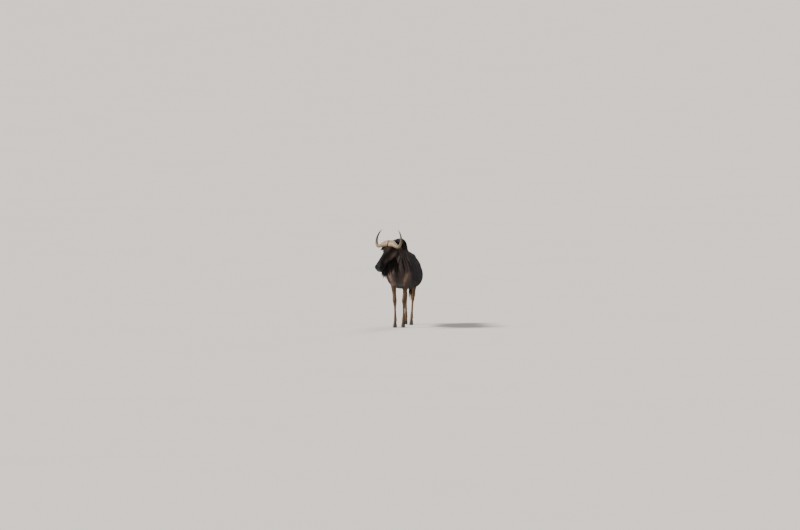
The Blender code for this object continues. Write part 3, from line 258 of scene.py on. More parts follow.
def meshFrom(name, points, quads, triangles, colour=None, patch=None):
    # all faces in one go; turned round if the enclosed volume comes out negative
    quads, triangles = np.reshape(quads, (-1, 4)).astype(np.int32), np.reshape(triangles, (-1, 3)).astype(np.int32)
    halves = np.concatenate([quads[:, [0, 1, 2]], quads[:, [0, 2, 3]], triangles])
    a, b, c = points[halves[:, 0]], points[halves[:, 1]], points[halves[:, 2]]
    if (a * np.cross(b, c)).sum() < 0:
        quads, triangles = quads[:, ::-1], triangles[:, ::-1]
    loops = np.concatenate([quads.ravel(), triangles.ravel()])
    starts = np.concatenate([np.arange(len(quads)) * 4, len(quads) * 4 + np.arange(len(triangles)) * 3])
    mesh = bpy.data.meshes.new(name)
    mesh.vertices.add(len(points))
    mesh.vertices.foreach_set("co", points.astype(np.float32).ravel())
    mesh.loops.add(len(loops))
    mesh.loops.foreach_set("vertex_index", loops)
    mesh.polygons.add(len(starts))
    mesh.polygons.foreach_set("loop_start", starts.astype(np.int32))
    if patch is not None:
        layer = mesh.uv_layers.new(name="OFBake")
        layer.uv.foreach_set("vector", patch[loops].astype(np.float32).ravel())
    mesh.update(calc_edges=True)
    mesh.shade_smooth()
    if colour is not None:
        paint(mesh, "hue", colour)
    obj = bpy.data.objects.new(name, mesh)
    bpy.context.scene.collection.objects.link(obj)
    return obj


def paint(mesh, name, colour):
    layer = mesh.attributes.new(name, "FLOAT_COLOR", "POINT")
    full = np.ones((len(colour), 4), np.float32)
    full[:, :3] = colour
    layer.data.foreach_set("color", full.ravel())


def ringMesh(name, rings, ends=None, colour=None):
    # quads between neighbouring rings and a fan to one point at each end
    count, around = rings.shape[:2]
    ends = np.array([rings[0].mean(0), rings[-1].mean(0)] if ends is None else ends)
    index = np.arange(count * around).reshape(count, around)
    beside = np.roll(index, -1, axis=1)
    quads = np.stack([index[:-1], beside[:-1], beside[1:], index[1:]], axis=-1)
    first = np.stack([np.full(around, count * around), beside[0], index[0]], axis=-1)
    last = np.stack([np.full(around, count * around + 1), index[-1], beside[-1]], axis=-1)
    points = np.concatenate([rings.reshape(-1, 3), ends])
    return meshFrom(name, points, quads, np.concatenate([first, last]), colour)


def pointsOf(mesh, kind="co"):
    values = np.empty(len(mesh.vertices) * 3, np.float32)
    mesh.vertices.foreach_get(kind, values)
    return values.reshape(-1, 3).astype(float)


def setPoints(mesh, points):
    mesh.vertices.foreach_set("co", points.astype(np.float32).ravel())
    mesh.update()


def edgesOf(mesh):
    edges = np.empty(len(mesh.edges) * 2, np.int32)
    mesh.edges.foreach_get("vertices", edges)
    return edges.reshape(-1, 2)


def evaluated(obj):
    bpy.context.view_layer.update()
    mesh = bpy.data.meshes.new_from_object(obj.evaluated_get(bpy.context.evaluated_depsgraph_get()))
    obj.modifiers.clear()
    obj.data = mesh
    return obj


def remove(*objects):
    for obj in objects:
        bpy.data.objects.remove(obj)


def relaxed(points, edges, weight, rounds):
    # each point moves towards the mean of its neighbours, as far as its weight says
    ends = np.concatenate([edges, edges[:, ::-1]])
    degree = np.maximum(np.bincount(ends[:, 0], minlength=len(points)), 1)[:, None]
    for _ in range(rounds):
        near = [np.bincount(ends[:, 0], points[ends[:, 1], k], len(points)) for k in range(3)]
        points = points + weight[:, None] * (np.stack(near, axis=-1) / degree - points)
    return points


def refined(mesh, chosen):
    # splits every edge whose two ends are chosen
    shape = bmesh.new()
    shape.from_mesh(mesh)
    edges = edgesOf(mesh)
    picked = np.flatnonzero(chosen[edges].all(axis=1))
    shape.edges.ensure_lookup_table()
    bmesh.ops.subdivide_edges(shape, edges=[shape.edges[i] for i in picked], cuts=1, use_grid_fill=True)
    bmesh.ops.triangulate(shape, faces=[face for face in shape.faces if len(face.verts) > 4])
    shape.to_mesh(mesh)
    shape.free()


def tubeRings(centres, wide, thick, across, around):
    # rings square to a path; one radius points as near as it can along the given way
    tangent = unit(np.gradient(centres, axis=0))
    first = unit(across - (tangent @ across)[:, None] * tangent)
    second = np.cross(tangent, first)
    turn = np.linspace(0, 2 * pi, around, endpoint=False)
    return (centres[:, None] + first[:, None] * (wide[:, None] * np.cos(turn))[..., None]
            + second[:, None] * (thick[:, None] * np.sin(turn))[..., None])


# ---- the skin: one surface over trunk, neck, head, ears, legs and tail

skinForm = {"voxel": 0.0122, "relax": 6, "sinkTrunk": 0.0040, "sinkLeg": 0.0022, "sinkFace": 0.0014}


def trunkRings(count=60, around=64):
    # upright sections: x = half width, drawn in towards the withers; z bends from bottom to top
    y = trunkStations[0, 0] + np.ptp(trunkStations[:, 0]) * (1 - np.cos(np.linspace(0, pi, count))) / 2
    top, bottom, half, middle, narrow = curveThrough(trunkStations[:, 0], trunkStations[:, 1:], y).T[:, :, None]
    turn = np.linspace(0, 2 * pi, around, endpoint=False)[None, :]
    lower = np.sin(turn) < 0  # fuller below than above
    side = bendPower(np.cos(turn), np.where(lower, 2.65, 2.25))
    rise = bendPower(np.sin(turn), np.where(lower, 2.40, 2.15))
    x = half * side * (1 - narrow * np.clip(np.sin(turn), 0, 1) ** 1.4)
    z = middle + np.where(rise > 0, (top - middle) * rise, (middle - bottom) * rise)
    return np.stack([x, np.broadcast_to(y[:, None], x.shape), z], axis=-1)


def neckRings(count=30, around=48):
    y = np.linspace(neckStations[0, 0], neckStations[-1, 0], count)
    bend, top, bottom, half = curveThrough(neckStations[:, 0], neckStations[:, 1:], y).T[:, :, None]
    turn = np.linspace(0, 2 * pi, around, endpoint=False)[None, :]
    crest = 1 - 0.42 * np.clip(np.sin(turn), 0, 1) ** 1.6
    x = bend + half * bendPower(np.cos(turn), 2.2) * crest
    z = (top + bottom) / 2 + (top - bottom) / 2 * bendPower(np.sin(turn), 2.2)
    return np.stack([x, np.broadcast_to(y[:, None], x.shape), z], axis=-1)


def headRings(count=60, around=56):
    share = np.linspace(headStations[0, 0], headStations[-1, 0], count)
    top, bottom, half, square = curveThrough(headStations[:, 0], headStations[:, 1:], share).T[:, :, None]
    turn = np.linspace(0, 2 * pi, around, endpoint=False)[None, :]
    cross, rise = np.cos(turn), np.sin(turn)
    side, lift = bendPower(cross, square), bendPower(rise, square)
    jaw = 1 - 0.30 * np.clip(-rise, 0, 1) ** 2 * smoothStep(0.95, 0.6, share[:, None])
    height = np.where(lift > 0, top * lift, -bottom * lift)
    return headPoint(np.broadcast_to(share[:, None] * headPose["length"], height.shape), height, half * side * jaw)


def legRings(stations, side, step, out, count=80, around=36):
    z = np.linspace(stations[0, 0], stations[-1, 0], count)
    y, x, deep, wide = curveThrough(stations[:, 0], stations[:, 1:], z).T[:, :, None]
    moved = stepOf(z)[:, None]
    turn = np.linspace(0, 2 * pi, around, endpoint=False)[None, :]
    px = side * (x + out * moved) + wide * bendPower(np.cos(turn), 2.2)
    py = y + step * moved + deep * bendPower(np.sin(turn), 2.1)
    return np.stack([px, py, np.broadcast_to(z[:, None], px.shape)], axis=-1)


def dockRings(start=0.0, end=1.0, count=24, around=20, swell=0.0):
    at = np.linspace(start, end, count)
    y, z, radius = curveThrough(np.linspace(0, 1, len(dockStations)), dockStations, at).T
    centres = np.stack([np.zeros(count), y, z], axis=-1)
    return tubeRings(centres, radius + swell, radius + swell, np.array([1.0, 0, 0]), around)


def formHeight(points, place, radii):
    return np.exp(-(((points - np.array(place)) / np.array(radii)) ** 2).sum(-1))


def bothSides(points, forms):
    lift = np.zeros(len(points))
    for place, radii, height in forms:
        share = 0.5 if abs(place[0]) < 1e-6 else 1.0
        for side in (1, -1):
            lift += share * height * formHeight(points, (place[0] * side, *place[1:]), radii)
    return lift


def relief(points):
    # muscles, bones and hollows, as bell-shaped lifts along the skin's own normal
    lift = bothSides(points, trunkForms)
    turned = [((w, s, h), (rw, rs, rh), height) for (s, h, w), (rs, rh, rw), height in headForms]
    lift += bothSides(inHead(points)[:, [2, 0, 1]], turned)
    for name, (_, side, step, out) in legs.items():
        moved = stepOf(points[:, 2])
        own = points - np.stack([side * out * moved, step * moved, 0 * moved], axis=-1)
        for place, radii, height in hindLegForms if name.startswith("hind") else frontLegForms:
            lift += height * formHeight(own, (place[0] * side, *place[1:]), radii)
    return lift


def headShare(points):
    along, up, _ = inHead(points).T
    return smoothStep(-0.01, 0.07, along) * smoothStep(-0.19, -0.15, up) * (points[:, 1] < -0.31)


def legShare(points):
    # one on the lower legs, nothing on the trunk and the tail
    y, z = points[:, 1], points[:, 2]
    fore, hind = smoothStep(0.20, 0.12, y) * (y > -0.30), smoothStep(0.72, 0.80, y) * smoothStep(1.165, 1.135, y)
    return smoothStep(0.76, 0.62, z) * np.maximum(fore, hind)


def mouthHeight(along):
    # height of the line between the lips, which climbs from the corners to the front
    ahead = np.clip((along - 0.395) / 0.124, 0, 1) ** (1 / 0.55)
    return -0.037 - 0.010 * (np.arccos(ahead) * 2 / pi) ** 3


def nostrilPlace(local, side):
    # how far out from the nostril's middle in its own long and short radii, with a comma's bend
    away = local - np.array([0.486, 0.024, 0.066 * side])
    longWay = unit(np.array([cos(0.55), sin(0.55), 0.10 * side]))
    shortWay = unit(np.array([-sin(0.55), cos(0.55), 0.0]))
    run = away @ longWay / 0.0220
    rise = away @ shortWay / 0.0105 - 0.40 * run ** 2 + 0.15
    return np.where(local[:, 2] * side > 0.018, np.hypot(run, rise), 9.0)


def skinFolds(points, normals):
    # small lifts: ribs, folds of the bent neck, lips, wrinkles round the eye, chin and forehead
    x, y, z = points.T
    local = inHead(points)
    along, up, left = local.T
    head = headShare(points)
    ribs = 0.0016 * np.cos(2 * pi * (y + 0.30 * (0.95 - z)) / 0.064)
    ribs *= smoothStep(0.20, 0.30, y) * smoothStep(0.68, 0.58, y) * bell(z, 0.95, 0.16)
    bent = 0.0030 * np.cos(2 * pi * (y + 0.30 + 0.10 * (z - 1.2)) / 0.034)
    bent *= bell(y, -0.275, 0.055) * smoothStep(0.03, 0.08, -x) * bell(z, 1.20, 0.12)
    throat = 0.0022 * np.cos(2 * pi * (y - 0.35 * z) / 0.040) * bell(y, -0.24, 0.06) * bell(z, 1.03, 0.09)
    muscle = 0.0014 * patchNoise(points, 16, 3) * (1 - head) * (1 - legShare(points))
    lips = (0.0016 * bell(up, mouthHeight(along) + 0.0065, 0.0045) + 0.0014 * bell(up, mouthHeight(along) - 0.007, 0.0050))
    lips *= smoothStep(0.375, 0.405, along) * head
    bridge = 0.0004 * np.cos(2 * pi * (along + 0.006 * patchNoise(points, 30, 22)) / 0.0135) * smoothStep(0.40, 0.44, along) * smoothStep(0.50, 0.47, along)
    bridge *= smoothStep(0.0, 0.03, up) * head
    cheek = 0.0010 * patchNoise(points, 55, 5) * head * smoothStep(0.44, 0.36, along)
    knee = 0.0008 * np.cos(2 * pi * z / 0.010) * bell(z, 0.425, 0.030) * legShare(points) * (y < 0.3)
    return ribs + bent + throat + muscle + lips + bridge + cheek + knee


def faceCuts(points):
    # nostrils, the line of the mouth and the slit ahead of each eye, as moves towards the head's middle
    local = inHead(points)
    along, up, left = local.T
    head = headShare(points)
    moved = np.zeros((len(points), 3))
    for side in (1, -1):
        r = nostrilPlace(local, side)
        hole = 0.016 * smoothStep(1.08, 0.25, r)
        rim = 0.0032 * bell(r, 1.30, 0.26)
        moved += (rim * head)[:, None] * np.array([0.20, 0.10, 0.95 * side])
        moved -= (hole * head)[:, None] * np.array([0.45, 0.0, 0.89 * side])
        slit = bell(along, 0.232, 0.012) * bell(up, 0.012 + 0.35 * (along - 0.232), 0.0022)
        moved[:, 2] -= 0.0022 * slit * side * (left * side > 0.03) * head
    groove = 0.0050 * bell(up, mouthHeight(along), 0.0019) * smoothStep(0.385, 0.405, along) * head
    way = unit(np.stack([0.35 * smoothStep(0.47, 0.52, along), 0 * up, left / 0.05], axis=-1))
    return headPoint(*(local + moved - groove[:, None] * way).T)


def withLids(points):
    # skin near each eye, raised into lids just outside the eyeball round an almond opening
    local = inHead(points)
    for side in (1, -1):
        centre, look, longWay, shortWay = eyeFrame(side)
        away = local - centre
        out, run, rise = away @ look, away @ longWay, away @ shortWay
        reach = np.hypot(run, rise)
        near = (out > -0.012) & (reach < 0.045)
        outer = eyeForm["radius"] + eyeForm["lid"]
        lid = np.sqrt(np.clip(outer ** 2 - reach ** 2, 0, None)) - 1.2 * np.clip(reach - outer, 0, None)
        blend = 0.0030
        raised = blend * np.logaddexp(out / blend, lid / blend)
        half = np.where(rise > 0, 0.0145, 0.0110) * (1 - (run / 0.0200) ** 2)
        past = np.abs(rise) - half
        crease = np.where(rise > 0, 0.0012, 0.0008) * (bell(past, 0.0062, 0.0011) + 0.6 * bell(past, 0.0105, 0.0013))
        crease *= smoothStep(0.026, 0.018, np.abs(run))
        rim = 0.0007 * bell(past, 0.0014, 0.0011)
        inside = smoothStep(0.0007, -0.0007, past)
        ball = np.sqrt(np.clip(eyeForm["radius"] ** 2 - reach ** 2, 0, None)) - 0.005
        moved = raised + rim - crease + inside * (np.minimum(ball, raised) - raised)
        local = local + np.where(near, moved - out, 0)[:, None] * look
    return headPoint(*local.T)


earForm = {"length": 0.19, "droop": {1: 0.68, -1: 0.38}, "back": {1: 0.25, -1: -0.30}}


def earAxes(side):
    root = headPoint(-0.004, 0.030, 0.062 * side)
    axis = unit(leftWay * side * 0.66 - sky * earForm["droop"][side] - aheadWay * earForm["back"][side])
    opening = aheadWay * 0.80 - sky * 0.25 + leftWay * side * 0.25
    opening = unit(opening - (opening @ axis) * axis)
    return root, axis, opening, np.cross(axis, opening)


def earRings(side, count=56, halfCount=12):
    # a leaf-shaped cup: each section a crescent, thicker in its middle, with folds inside and a rolled edge
    root, axis, opening, breadth = earAxes(side)
    share = np.concatenate([np.linspace(-0.16, 0.86, count - 10), 1 - 0.14 * (1 - np.linspace(0.1, 1, 10)) ** 1.6])
    knots = np.array([-0.16, 0.0, 0.18, 0.40, 0.62, 0.82, 1.0])
    half = np.array([0.016, 0.019, 0.030, 0.037, 0.033, 0.020, 0.0025])
    wide = curveThrough(knots, half[:, None], share)[:, 0]
    deep = wide * np.interp(share, (-0.16, 0.2, 1.0), (1.15, 0.80, 0.30))
    thick = np.interp(share, (-0.16, 0.2, 1.0), (0.012, 0.0050, 0.0022))
    bend = -0.018 * np.clip(share, 0, 1) ** 2
    middle = root + np.multiply.outer(share * earForm["length"], axis) + np.multiply.outer(bend, sky)
    v = np.linspace(-1, 1, 2 * halfCount + 1)
    back = -deep[:, None] * (1 - v ** 2)
    ridges = 0.0012 * np.cos(v * 13) * smoothStep(0.9, 0.6, np.abs(v)) * np.interp(share, (0, 0.2, 0.8, 1), (0, 1, 0.6, 0))[:, None]
    roll = 1 + 0.25 * bell(np.abs(v), 0.93, 0.07)
    front = back + thick[:, None] * (1 - 0.55 * v ** 2) * roll + ridges
    ringV, ringO = np.concatenate([v, v[::-1]]), np.concatenate([back, front[:, ::-1]], axis=1)
    return (middle[:, None] + breadth * (wide[:, None] * ringV)[..., None] + opening * ringO[..., None])


def earShare(points):
    # one on an ear beyond its root, and how far along the ear the point is
    share, along, inner = np.zeros(len(points)), np.zeros(len(points)), np.zeros(len(points))
    for side in (1, -1):
        root, axis, opening, breadth = earAxes(side)
        away = points - root
        run = away @ axis / earForm["length"]
        away = away + np.multiply.outer(0.018 * np.clip(run, 0, 1) ** 2, sky)
        knots = (-0.16, 0.0, 0.18, 0.40, 0.62, 0.82, 1.0)
        wide = np.interp(run, knots, (0.016, 0.019, 0.030, 0.037, 0.033, 0.020, 0.004))
        deep = wide * np.interp(run, (-0.16, 0.2, 1.0), (1.15, 0.80, 0.30))
        v, o = away @ breadth / wide, away @ opening
        on = (np.abs(v) < 1.12) & (o > -deep - 0.003) & (o < 0.012) & (run < 1.05)
        share = np.maximum(share, on * smoothStep(0.02, 0.14, run))
        along = np.where(on & (run > 0), run, along)
        inner = np.maximum(inner, on * smoothStep(-0.0015, 0.0015, o + deep * (1 - v ** 2) - 0.0022))
    return share, along, inner


def wholeSkin():
    shells = [ringMesh("trunkShell", trunkRings()), ringMesh("neckShell", neckRings()),
              ringMesh("headShell", headRings()), ringMesh("dockShell", dockRings())]
    shells += [ringMesh("legShell", legRings(*leg)) for leg in legs.values()]
    shape = bmesh.new()
    for shell in shells:
        shape.from_mesh(shell.data)
    mesh = bpy.data.meshes.new("skin")
    shape.to_mesh(mesh)
    shape.free()
    remove(*shells)
    skin = bpy.data.objects.new("skin", mesh)
    bpy.context.scene.collection.objects.link(skin)
    fuse = skin.modifiers.new("fuse", "REMESH")
    fuse.mode = "VOXEL"
    fuse.voxel_size = skinForm["voxel"]
    mesh = evaluated(skin).data
    points = pointsOf(mesh)
    slender = smoothStep(0.72, 0.55, points[:, 2])
    weight = 0.5 * (1 - 0.75 * np.maximum(headShare(points), slender))
    setPoints(mesh, relaxed(points, edgesOf(mesh), weight, skinForm["relax"]))
    points = pointsOf(mesh)
    refined(mesh, (headShare(points) > 0.3) | (legShare(points) > 0.3))
    points = pointsOf(mesh)
    fine = np.maximum(headShare(points), legShare(points))
    points = relaxed(points, edgesOf(mesh), 0.4 * fine + 0.1, 4)
    setPoints(mesh, points)
    points = points + pointsOf(mesh, "normal") * relief(points)[:, None]
    setPoints(mesh, relaxed(points, edgesOf(mesh), np.full(len(points), 0.4), 2))
    for reach, start in ((0.046, 0.375), (0.034, 0.455)):  # closer meshes round the eyes and on the muzzle
        local = inHead(pointsOf(mesh))
        near = (local[:, 0] > start) & (headShare(pointsOf(mesh)) > 0.5)
        for side in (1, -1):
            near |= np.linalg.norm(local - eyeFrame(side)[0], axis=1) < reach
        refined(mesh, near)
        points = pointsOf(mesh)
        setPoints(mesh, relaxed(points, edgesOf(mesh), 0.35 * headShare(points), 2))
    points, normals = pointsOf(mesh), pointsOf(mesh, "normal")
    head, leg = headShare(points), legShare(points)
    sink = skinForm["sinkTrunk"] + (skinForm["sinkLeg"] - skinForm["sinkTrunk"]) * leg
    sink = sink + (skinForm["sinkFace"] - sink) * head
    points = points + normals * (skinFolds(points, normals) - sink)[:, None]
    points = withLids(faceCuts(points))
    setPoints(mesh, points)
    for side in (1, -1):
        ear = ringMesh("earShell", earRings(side))
        union = skin.modifiers.new("ear", "BOOLEAN")
        union.operation = "UNION"
        union.solver = "MANIFOLD"
        union.object = ear
        evaluated(skin)
        remove(ear)
    skin.data.name = "skin"
    skin.data.shade_smooth()
    return skin


# ---- markings and the way the hair lies, both as sums over places on the body

coatColours = {
    # the flank colour is the coat's dark slate, darkened further as painted shade
    "slate": (0.222, 0.163, 0.150), "flankToneAndShade": (0.020, 0.0185, 0.0240), "back": (0.044, 0.034, 0.032),
    "stripe": (0.0105, 0.0092, 0.0110), "belly": (0.012, 0.010, 0.011), "rump": (0.030, 0.0255, 0.0270),
    # the cheek colour is partly the coat's tan and partly a painted highlight
    "face": (0.0150, 0.0120, 0.0125), "brow": (0.070, 0.036, 0.020), "cheek": (0.140, 0.092, 0.064),
    "muzzle": (0.0075, 0.0075, 0.0095), "shank": (0.165, 0.096, 0.054), "thigh": (0.070, 0.047, 0.036),
    # the forearm colour is a painted highlight, pale pink as if sunlit
    "pastern": (0.085, 0.054, 0.036), "forearmHighlight": (0.330, 0.212, 0.170), "earBack": (0.085, 0.064, 0.055), "earInside": (0.150, 0.112, 0.092),
    "dock": (0.012, 0.010, 0.011)}


def mixed(first, second, share):
    return first + (np.array(second) - first) * share[:, None]


def bareShare(points):
    # naked skin: the pad between the nostrils, the lips' edges, the nostrils and the lids' rims
    local = inHead(points)
    along, up, left = local.T
    head = headShare(points)
    bare = smoothStep(0.502, 0.514, along + 0.002 * patchNoise(points, 110, 23)) * smoothStep(-0.034, -0.026, up) * smoothStep(0.036, 0.020, up)
    bare = np.maximum(bare, bell(up, mouthHeight(along), 0.0045) * smoothStep(0.392, 0.41, along))
    for side in (1, -1):
        bare = np.maximum(bare, smoothStep(1.42, 1.12, nostrilPlace(local, side)))
        centre, look, longWay, shortWay = eyeFrame(side)
        away = local - centre
        run, rise = away @ longWay, away @ shortWay
        past = np.abs(rise) - np.where(rise > 0, 0.0145, 0.0110) * (1 - (run / 0.0200) ** 2)
        bare = np.maximum(bare, smoothStep(0.0034, 0.0012, past) * (np.linalg.norm(away, axis=1) < 0.032))
    return np.clip(bare * head, 0, 1)


def markings(points):
    x, y, z = points.T
    local = inHead(points)
    along, up, left = local.T
    head, leg = headShare(points), legShare(points)
    ear, earRun, earInner = earShare(points)
    broad, medium = patchNoise(points, 5, 1), patchNoise(points, 18, 2)
    hue = np.tile(np.array(coatColours["slate"]), (len(points), 1))
    # flank: the coat's dark slate with painted shade on top; the last term carries this painted shade forward over both
    # shoulders
    behind = y + 0.06 * broad + 2.4 * np.clip(np.abs(x) - 0.10, 0, 0.2) * smoothStep(-0.24, -0.08, y)
    paintedNeckShade = smoothStep(0.02, 0.09, x + 0.02 * medium) * smoothStep(0.10, -0.05, y)  # painted shade: the left side of the neck is darkened as if it lay in shadow
    hue = mixed(hue, coatColours["flankToneAndShade"], np.maximum(smoothStep(-0.24, 0.30, behind), 0.62 * paintedNeckShade))
    hue = mixed(hue, coatColours["rump"], smoothStep(0.72, 0.95, y + 0.04 * broad))
    hue = mixed(hue, coatColours["back"], smoothStep(1.12, 1.24, z + 0.02 * medium) * smoothStep(-0.05, 0.10, y))
    hue = mixed(hue, coatColours["belly"], smoothStep(0.84, 0.68, z + 0.03 * medium) * smoothStep(0.02, 0.26, y + 0.05 * broad) * smoothStep(0.92, 0.74, y))
    # stripes: bands across the neck and the ribs, bent and broken by noise, fading towards the loins
    lean = y + 0.16 * (z - 1.1) * smoothStep(0.1, -0.2, y) - 0.06 * (z - 1.0) * smoothStep(0.1, 0.3, y)
    lean = lean + 0.6 * np.abs(x + 0.012) * smoothStep(-0.04, -0.20, y)  # round the front of the neck as well
    lean = lean + 0.026 * patchNoise(points * (1, 1, 0.50), 7, 4) + 0.007 * patchNoise(points, 36, 6)
    wave = np.sin(2 * pi * lean / 0.058 + 2.2 * np.sin(lean * 11.0))
    fork = patchNoise(points * (1, 1, 0.22), 22, 7)
    front = smoothStep(-0.06, -0.16, y) * smoothStep(1.14, 1.0, z)  # thinner where they run down onto the chest
    # the stripes also widen into the painted shade on the neck's left side
    band = smoothStep(0.22, 0.78, wave + (0.75 - 0.45 * front) * fork + 0.25 * medium - 0.30 * front + 0.35 * paintedNeckShade)
    reach = smoothStep(0.66, 0.36, y) * smoothStep(-0.43, -0.36, y)
    reach *= smoothStep(0.76, 0.93, z + 0.04 * broad) * (1 - 0.45 * smoothStep(0.15, 0.45, y))
    reach *= 1 - 0.6 * smoothStep(1.30, 1.38, z)
    hue = mixed(hue, coatColours["stripe"], np.clip(band * reach * 0.88, 0, 1) * (1 - head))
    brisket = smoothStep(0.96, 0.82, z + 0.03 * medium) * bell(x, 0.0, 0.105 + 0.02 * broad) * smoothStep(0.34, 0.22, y)
    hue = mixed(hue, coatColours["rump"], 0.94 * brisket)
    throat = bell(x + 0.012 + 0.020 * patchNoise(points * (1, 1, 0.45), 14, 17), 0.0, 0.024) * smoothStep(-0.10, -0.18, y)
    throat *= smoothStep(0.78, 0.92, z + 0.03 * medium) * smoothStep(1.22, 1.12, z)
    hue = mixed(hue, coatColours["stripe"], np.clip(throat * (0.85 + 0.4 * fork), 0, 0.9) * (1 - head))
    # legs: slate runs out into tan above the knee and the hock, darker over knees and pasterns
    shank = mixed(np.tile(np.array(coatColours["shank"]), (len(points), 1)), coatColours["thigh"], smoothStep(0.50, 0.72, z))
    shank = mixed(shank, coatColours["pastern"], smoothStep(0.16, 0.06, z))
    shank = mixed(shank, coatColours["pastern"], 0.6 * bell(z, 0.43, 0.04) * (y < 0.3))
    fore = smoothStep(0.78, 0.58, z + 0.03 * medium) * smoothStep(0.19, 0.11, y)
    fore *= np.maximum(smoothStep(0.045, 0.085, np.abs(x)), smoothStep(0.64, 0.60, z))
    hind = smoothStep(0.70, 0.52, z + 0.03 * medium) * smoothStep(0.74, 0.84, y) * smoothStep(1.168, 1.14, y)
    turnTan = np.where(y < 0.45, fore, hind)
    # painted highlight: a pale pinkish band down the outer upper foreleg, where sun would fall
    forearmHighlight = bell(np.abs(x), 0.065 + 0.425 * (z - 0.66), 0.027 + 0.008 * medium) * smoothStep(0.01, -0.05, y)
    forearmHighlight *= smoothStep(0.92, 0.84, z) * smoothStep(0.60, 0.70, z)
    hue = mixed(hue, coatColours["forearmHighlight"], 0.80 * forearmHighlight)
    hue = hue + (shank - hue) * turnTan[:, None]
    hue = mixed(hue, coatColours["dock"], smoothStep(1.155, 1.175, y) * smoothStep(1.06, 0.94, z))
    # head: dark face with a brown brow, tan cheeks that are partly a painted highlight, and black muzzle
    face = np.tile(np.array(coatColours["face"]), (len(points), 1))
    face = mixed(face, coatColours["brow"], bell(along, 0.085, 0.055) * smoothStep(0.02, 0.07, up) * (0.75 + 0.25 * medium))
    # the tan cheek patch is partly the coat's tan and partly a painted highlight of sun on the cheek
    face = mixed(face, coatColours["cheek"], bell(along, 0.165, 0.085) * bell(up, -0.050, 0.048) * smoothStep(0.02, 0.05, np.abs(left)) * 0.85)
    # painted highlight: a faint tan streak along the middle of the face's sides, where sun would catch the cheek ridge
    face = mixed(face, coatColours["cheek"], 0.35 * bell(along, 0.33, 0.06) * bell(up, 0.0, 0.03))
    face = mixed(face, coatColours["muzzle"], smoothStep(0.36, 0.43, along))
    face = mixed(face, coatColours["muzzle"], smoothStep(-0.060, -0.100, up + 0.012 * medium) * smoothStep(0.10, 0.20, along))
    hue = hue + (face - hue) * smoothStep(0.25, 0.75, head)[:, None]
    hue = hue * (1 + 0.16 * broad + 0.14 * medium)[:, None]
    earHue = mixed(np.tile(np.array(coatColours["earBack"]), (len(points), 1)), coatColours["earInside"], earInner)
    earHue = mixed(earHue, (0.030, 0.024, 0.024), earInner * smoothStep(0.40, 0.05, earRun))
    earHue = mixed(earHue, (0.035, 0.028, 0.026), smoothStep(0.86, 1.0, earRun))
    hue = hue + (earHue - hue) * ear[:, None]
    return np.clip(mixed(hue, (0.0085, 0.0080, 0.0095), bareShare(points)), 0.004, 0.9)


def lieOf(points, normals):
    # the way the hair lies: back and down over the body, down the legs, up the face, out along the ears
    x, y, z = points.T
    head, leg = headShare(points), legShare(points)
    way = np.tile(np.array([0.0, 1.0, -0.30]), (len(points), 1))
    way = mixed(way, (0.0, 0.62, -0.80), smoothStep(0.10, -0.12, y))
    way = mixed(way, (0.0, 0.15, -1.0), smoothStep(-0.15, -0.26, y) * smoothStep(1.12, 1.0, z))
    way = mixed(way, (0.0, 0.25, -1.0), smoothStep(0.86, 1.02, y))
    way = mixed(way, (0.0, 1.0, -0.05), smoothStep(0.80, 0.72, z) * smoothStep(0.12, 0.22, y) * smoothStep(0.78, 0.68, y))
    way = mixed(way, (0.0, 0.10, -1.0), leg)
    local = inHead(points)
    up = -faceWay + 0.0 * browWay
    face = np.tile(up, (len(points), 1)) + np.multiply.outer(np.clip(-local[:, 1] * 8, 0, 1), -sky * 0.5)
    way = way + (face - way) * smoothStep(0.2, 0.8, head)[:, None]
    ear = earShare(points)[0]
    for side in (1, -1):
        near = ear * ((points - earAxes(side)[0]) @ earAxes(side)[1] > 0) * (((points - headPose["poll"]) @ leftWay) * side > 0)
        way = way + (earAxes(side)[1] - way) * near[:, None]
    way = unit(way - (way * normals).sum(1, keepdims=True) * normals)
    turn = (0.30 * patchNoise(points, 6, 8) + 0.12 * patchNoise(points, 24, 9))[:, None]
    return unit(way * np.cos(turn) + np.cross(normals, way) * np.sin(turn))


# ---- tapered locks of hair, many in one mesh

def lockMesh(name, paths, out, width, thick, colour, patch):
    # three-cornered sections along each path, ridged outwards, closed at the root and drawn to a point
    count, stations = paths.shape[:2]
    tangent = unit(np.gradient(paths, axis=1))
    ridge = unit(out - (out * tangent).sum(-1, keepdims=True) * tangent)
    side = np.cross(tangent, ridge)
    half, high = side * width[..., None] / 2, ridge * thick[..., None]
    rings = np.stack([paths - half, paths + high, paths + half], axis=2)[:, :-1]
    points = np.concatenate([rings.reshape(count, -1, 3), paths[:, -1:]], axis=1)
    each = points.shape[1]
    rows = np.arange(stations - 2)[:, None] * 3
    corner, beside = np.arange(3)[None, :], np.array([1, 2, 0])[None, :]
    quads = np.stack([rows + corner, rows + beside, rows + 3 + beside, rows + 3 + corner], axis=-1).reshape(-1, 4)
    last = (stations - 2) * 3
    tip = np.array([(last, last + 1, each - 1), (last + 1, last + 2, each - 1), (last + 2, last, each - 1), (0, 2, 1)])
    start = (np.arange(count) * each)[:, None, None]
    tone = np.repeat(colour[:, :-1], 3, axis=1)
    tone = np.concatenate([tone, colour[:, -1:]], axis=1).reshape(-1, 3)
    run = np.concatenate([np.repeat(np.arange(stations - 1), 3), [stations - 1]]) / (stations - 1) - 0.5
    across = np.concatenate([np.tile([-0.5, 0.0, 0.5], stations - 1), [0.0]])
    spread = np.stack([across, run], axis=-1) * 0.003
    places = (patch[:, None] + spread).reshape(-1, 2)
    return meshFrom(name, points.reshape(-1, 3), quads + start, tip + start, tone, places)


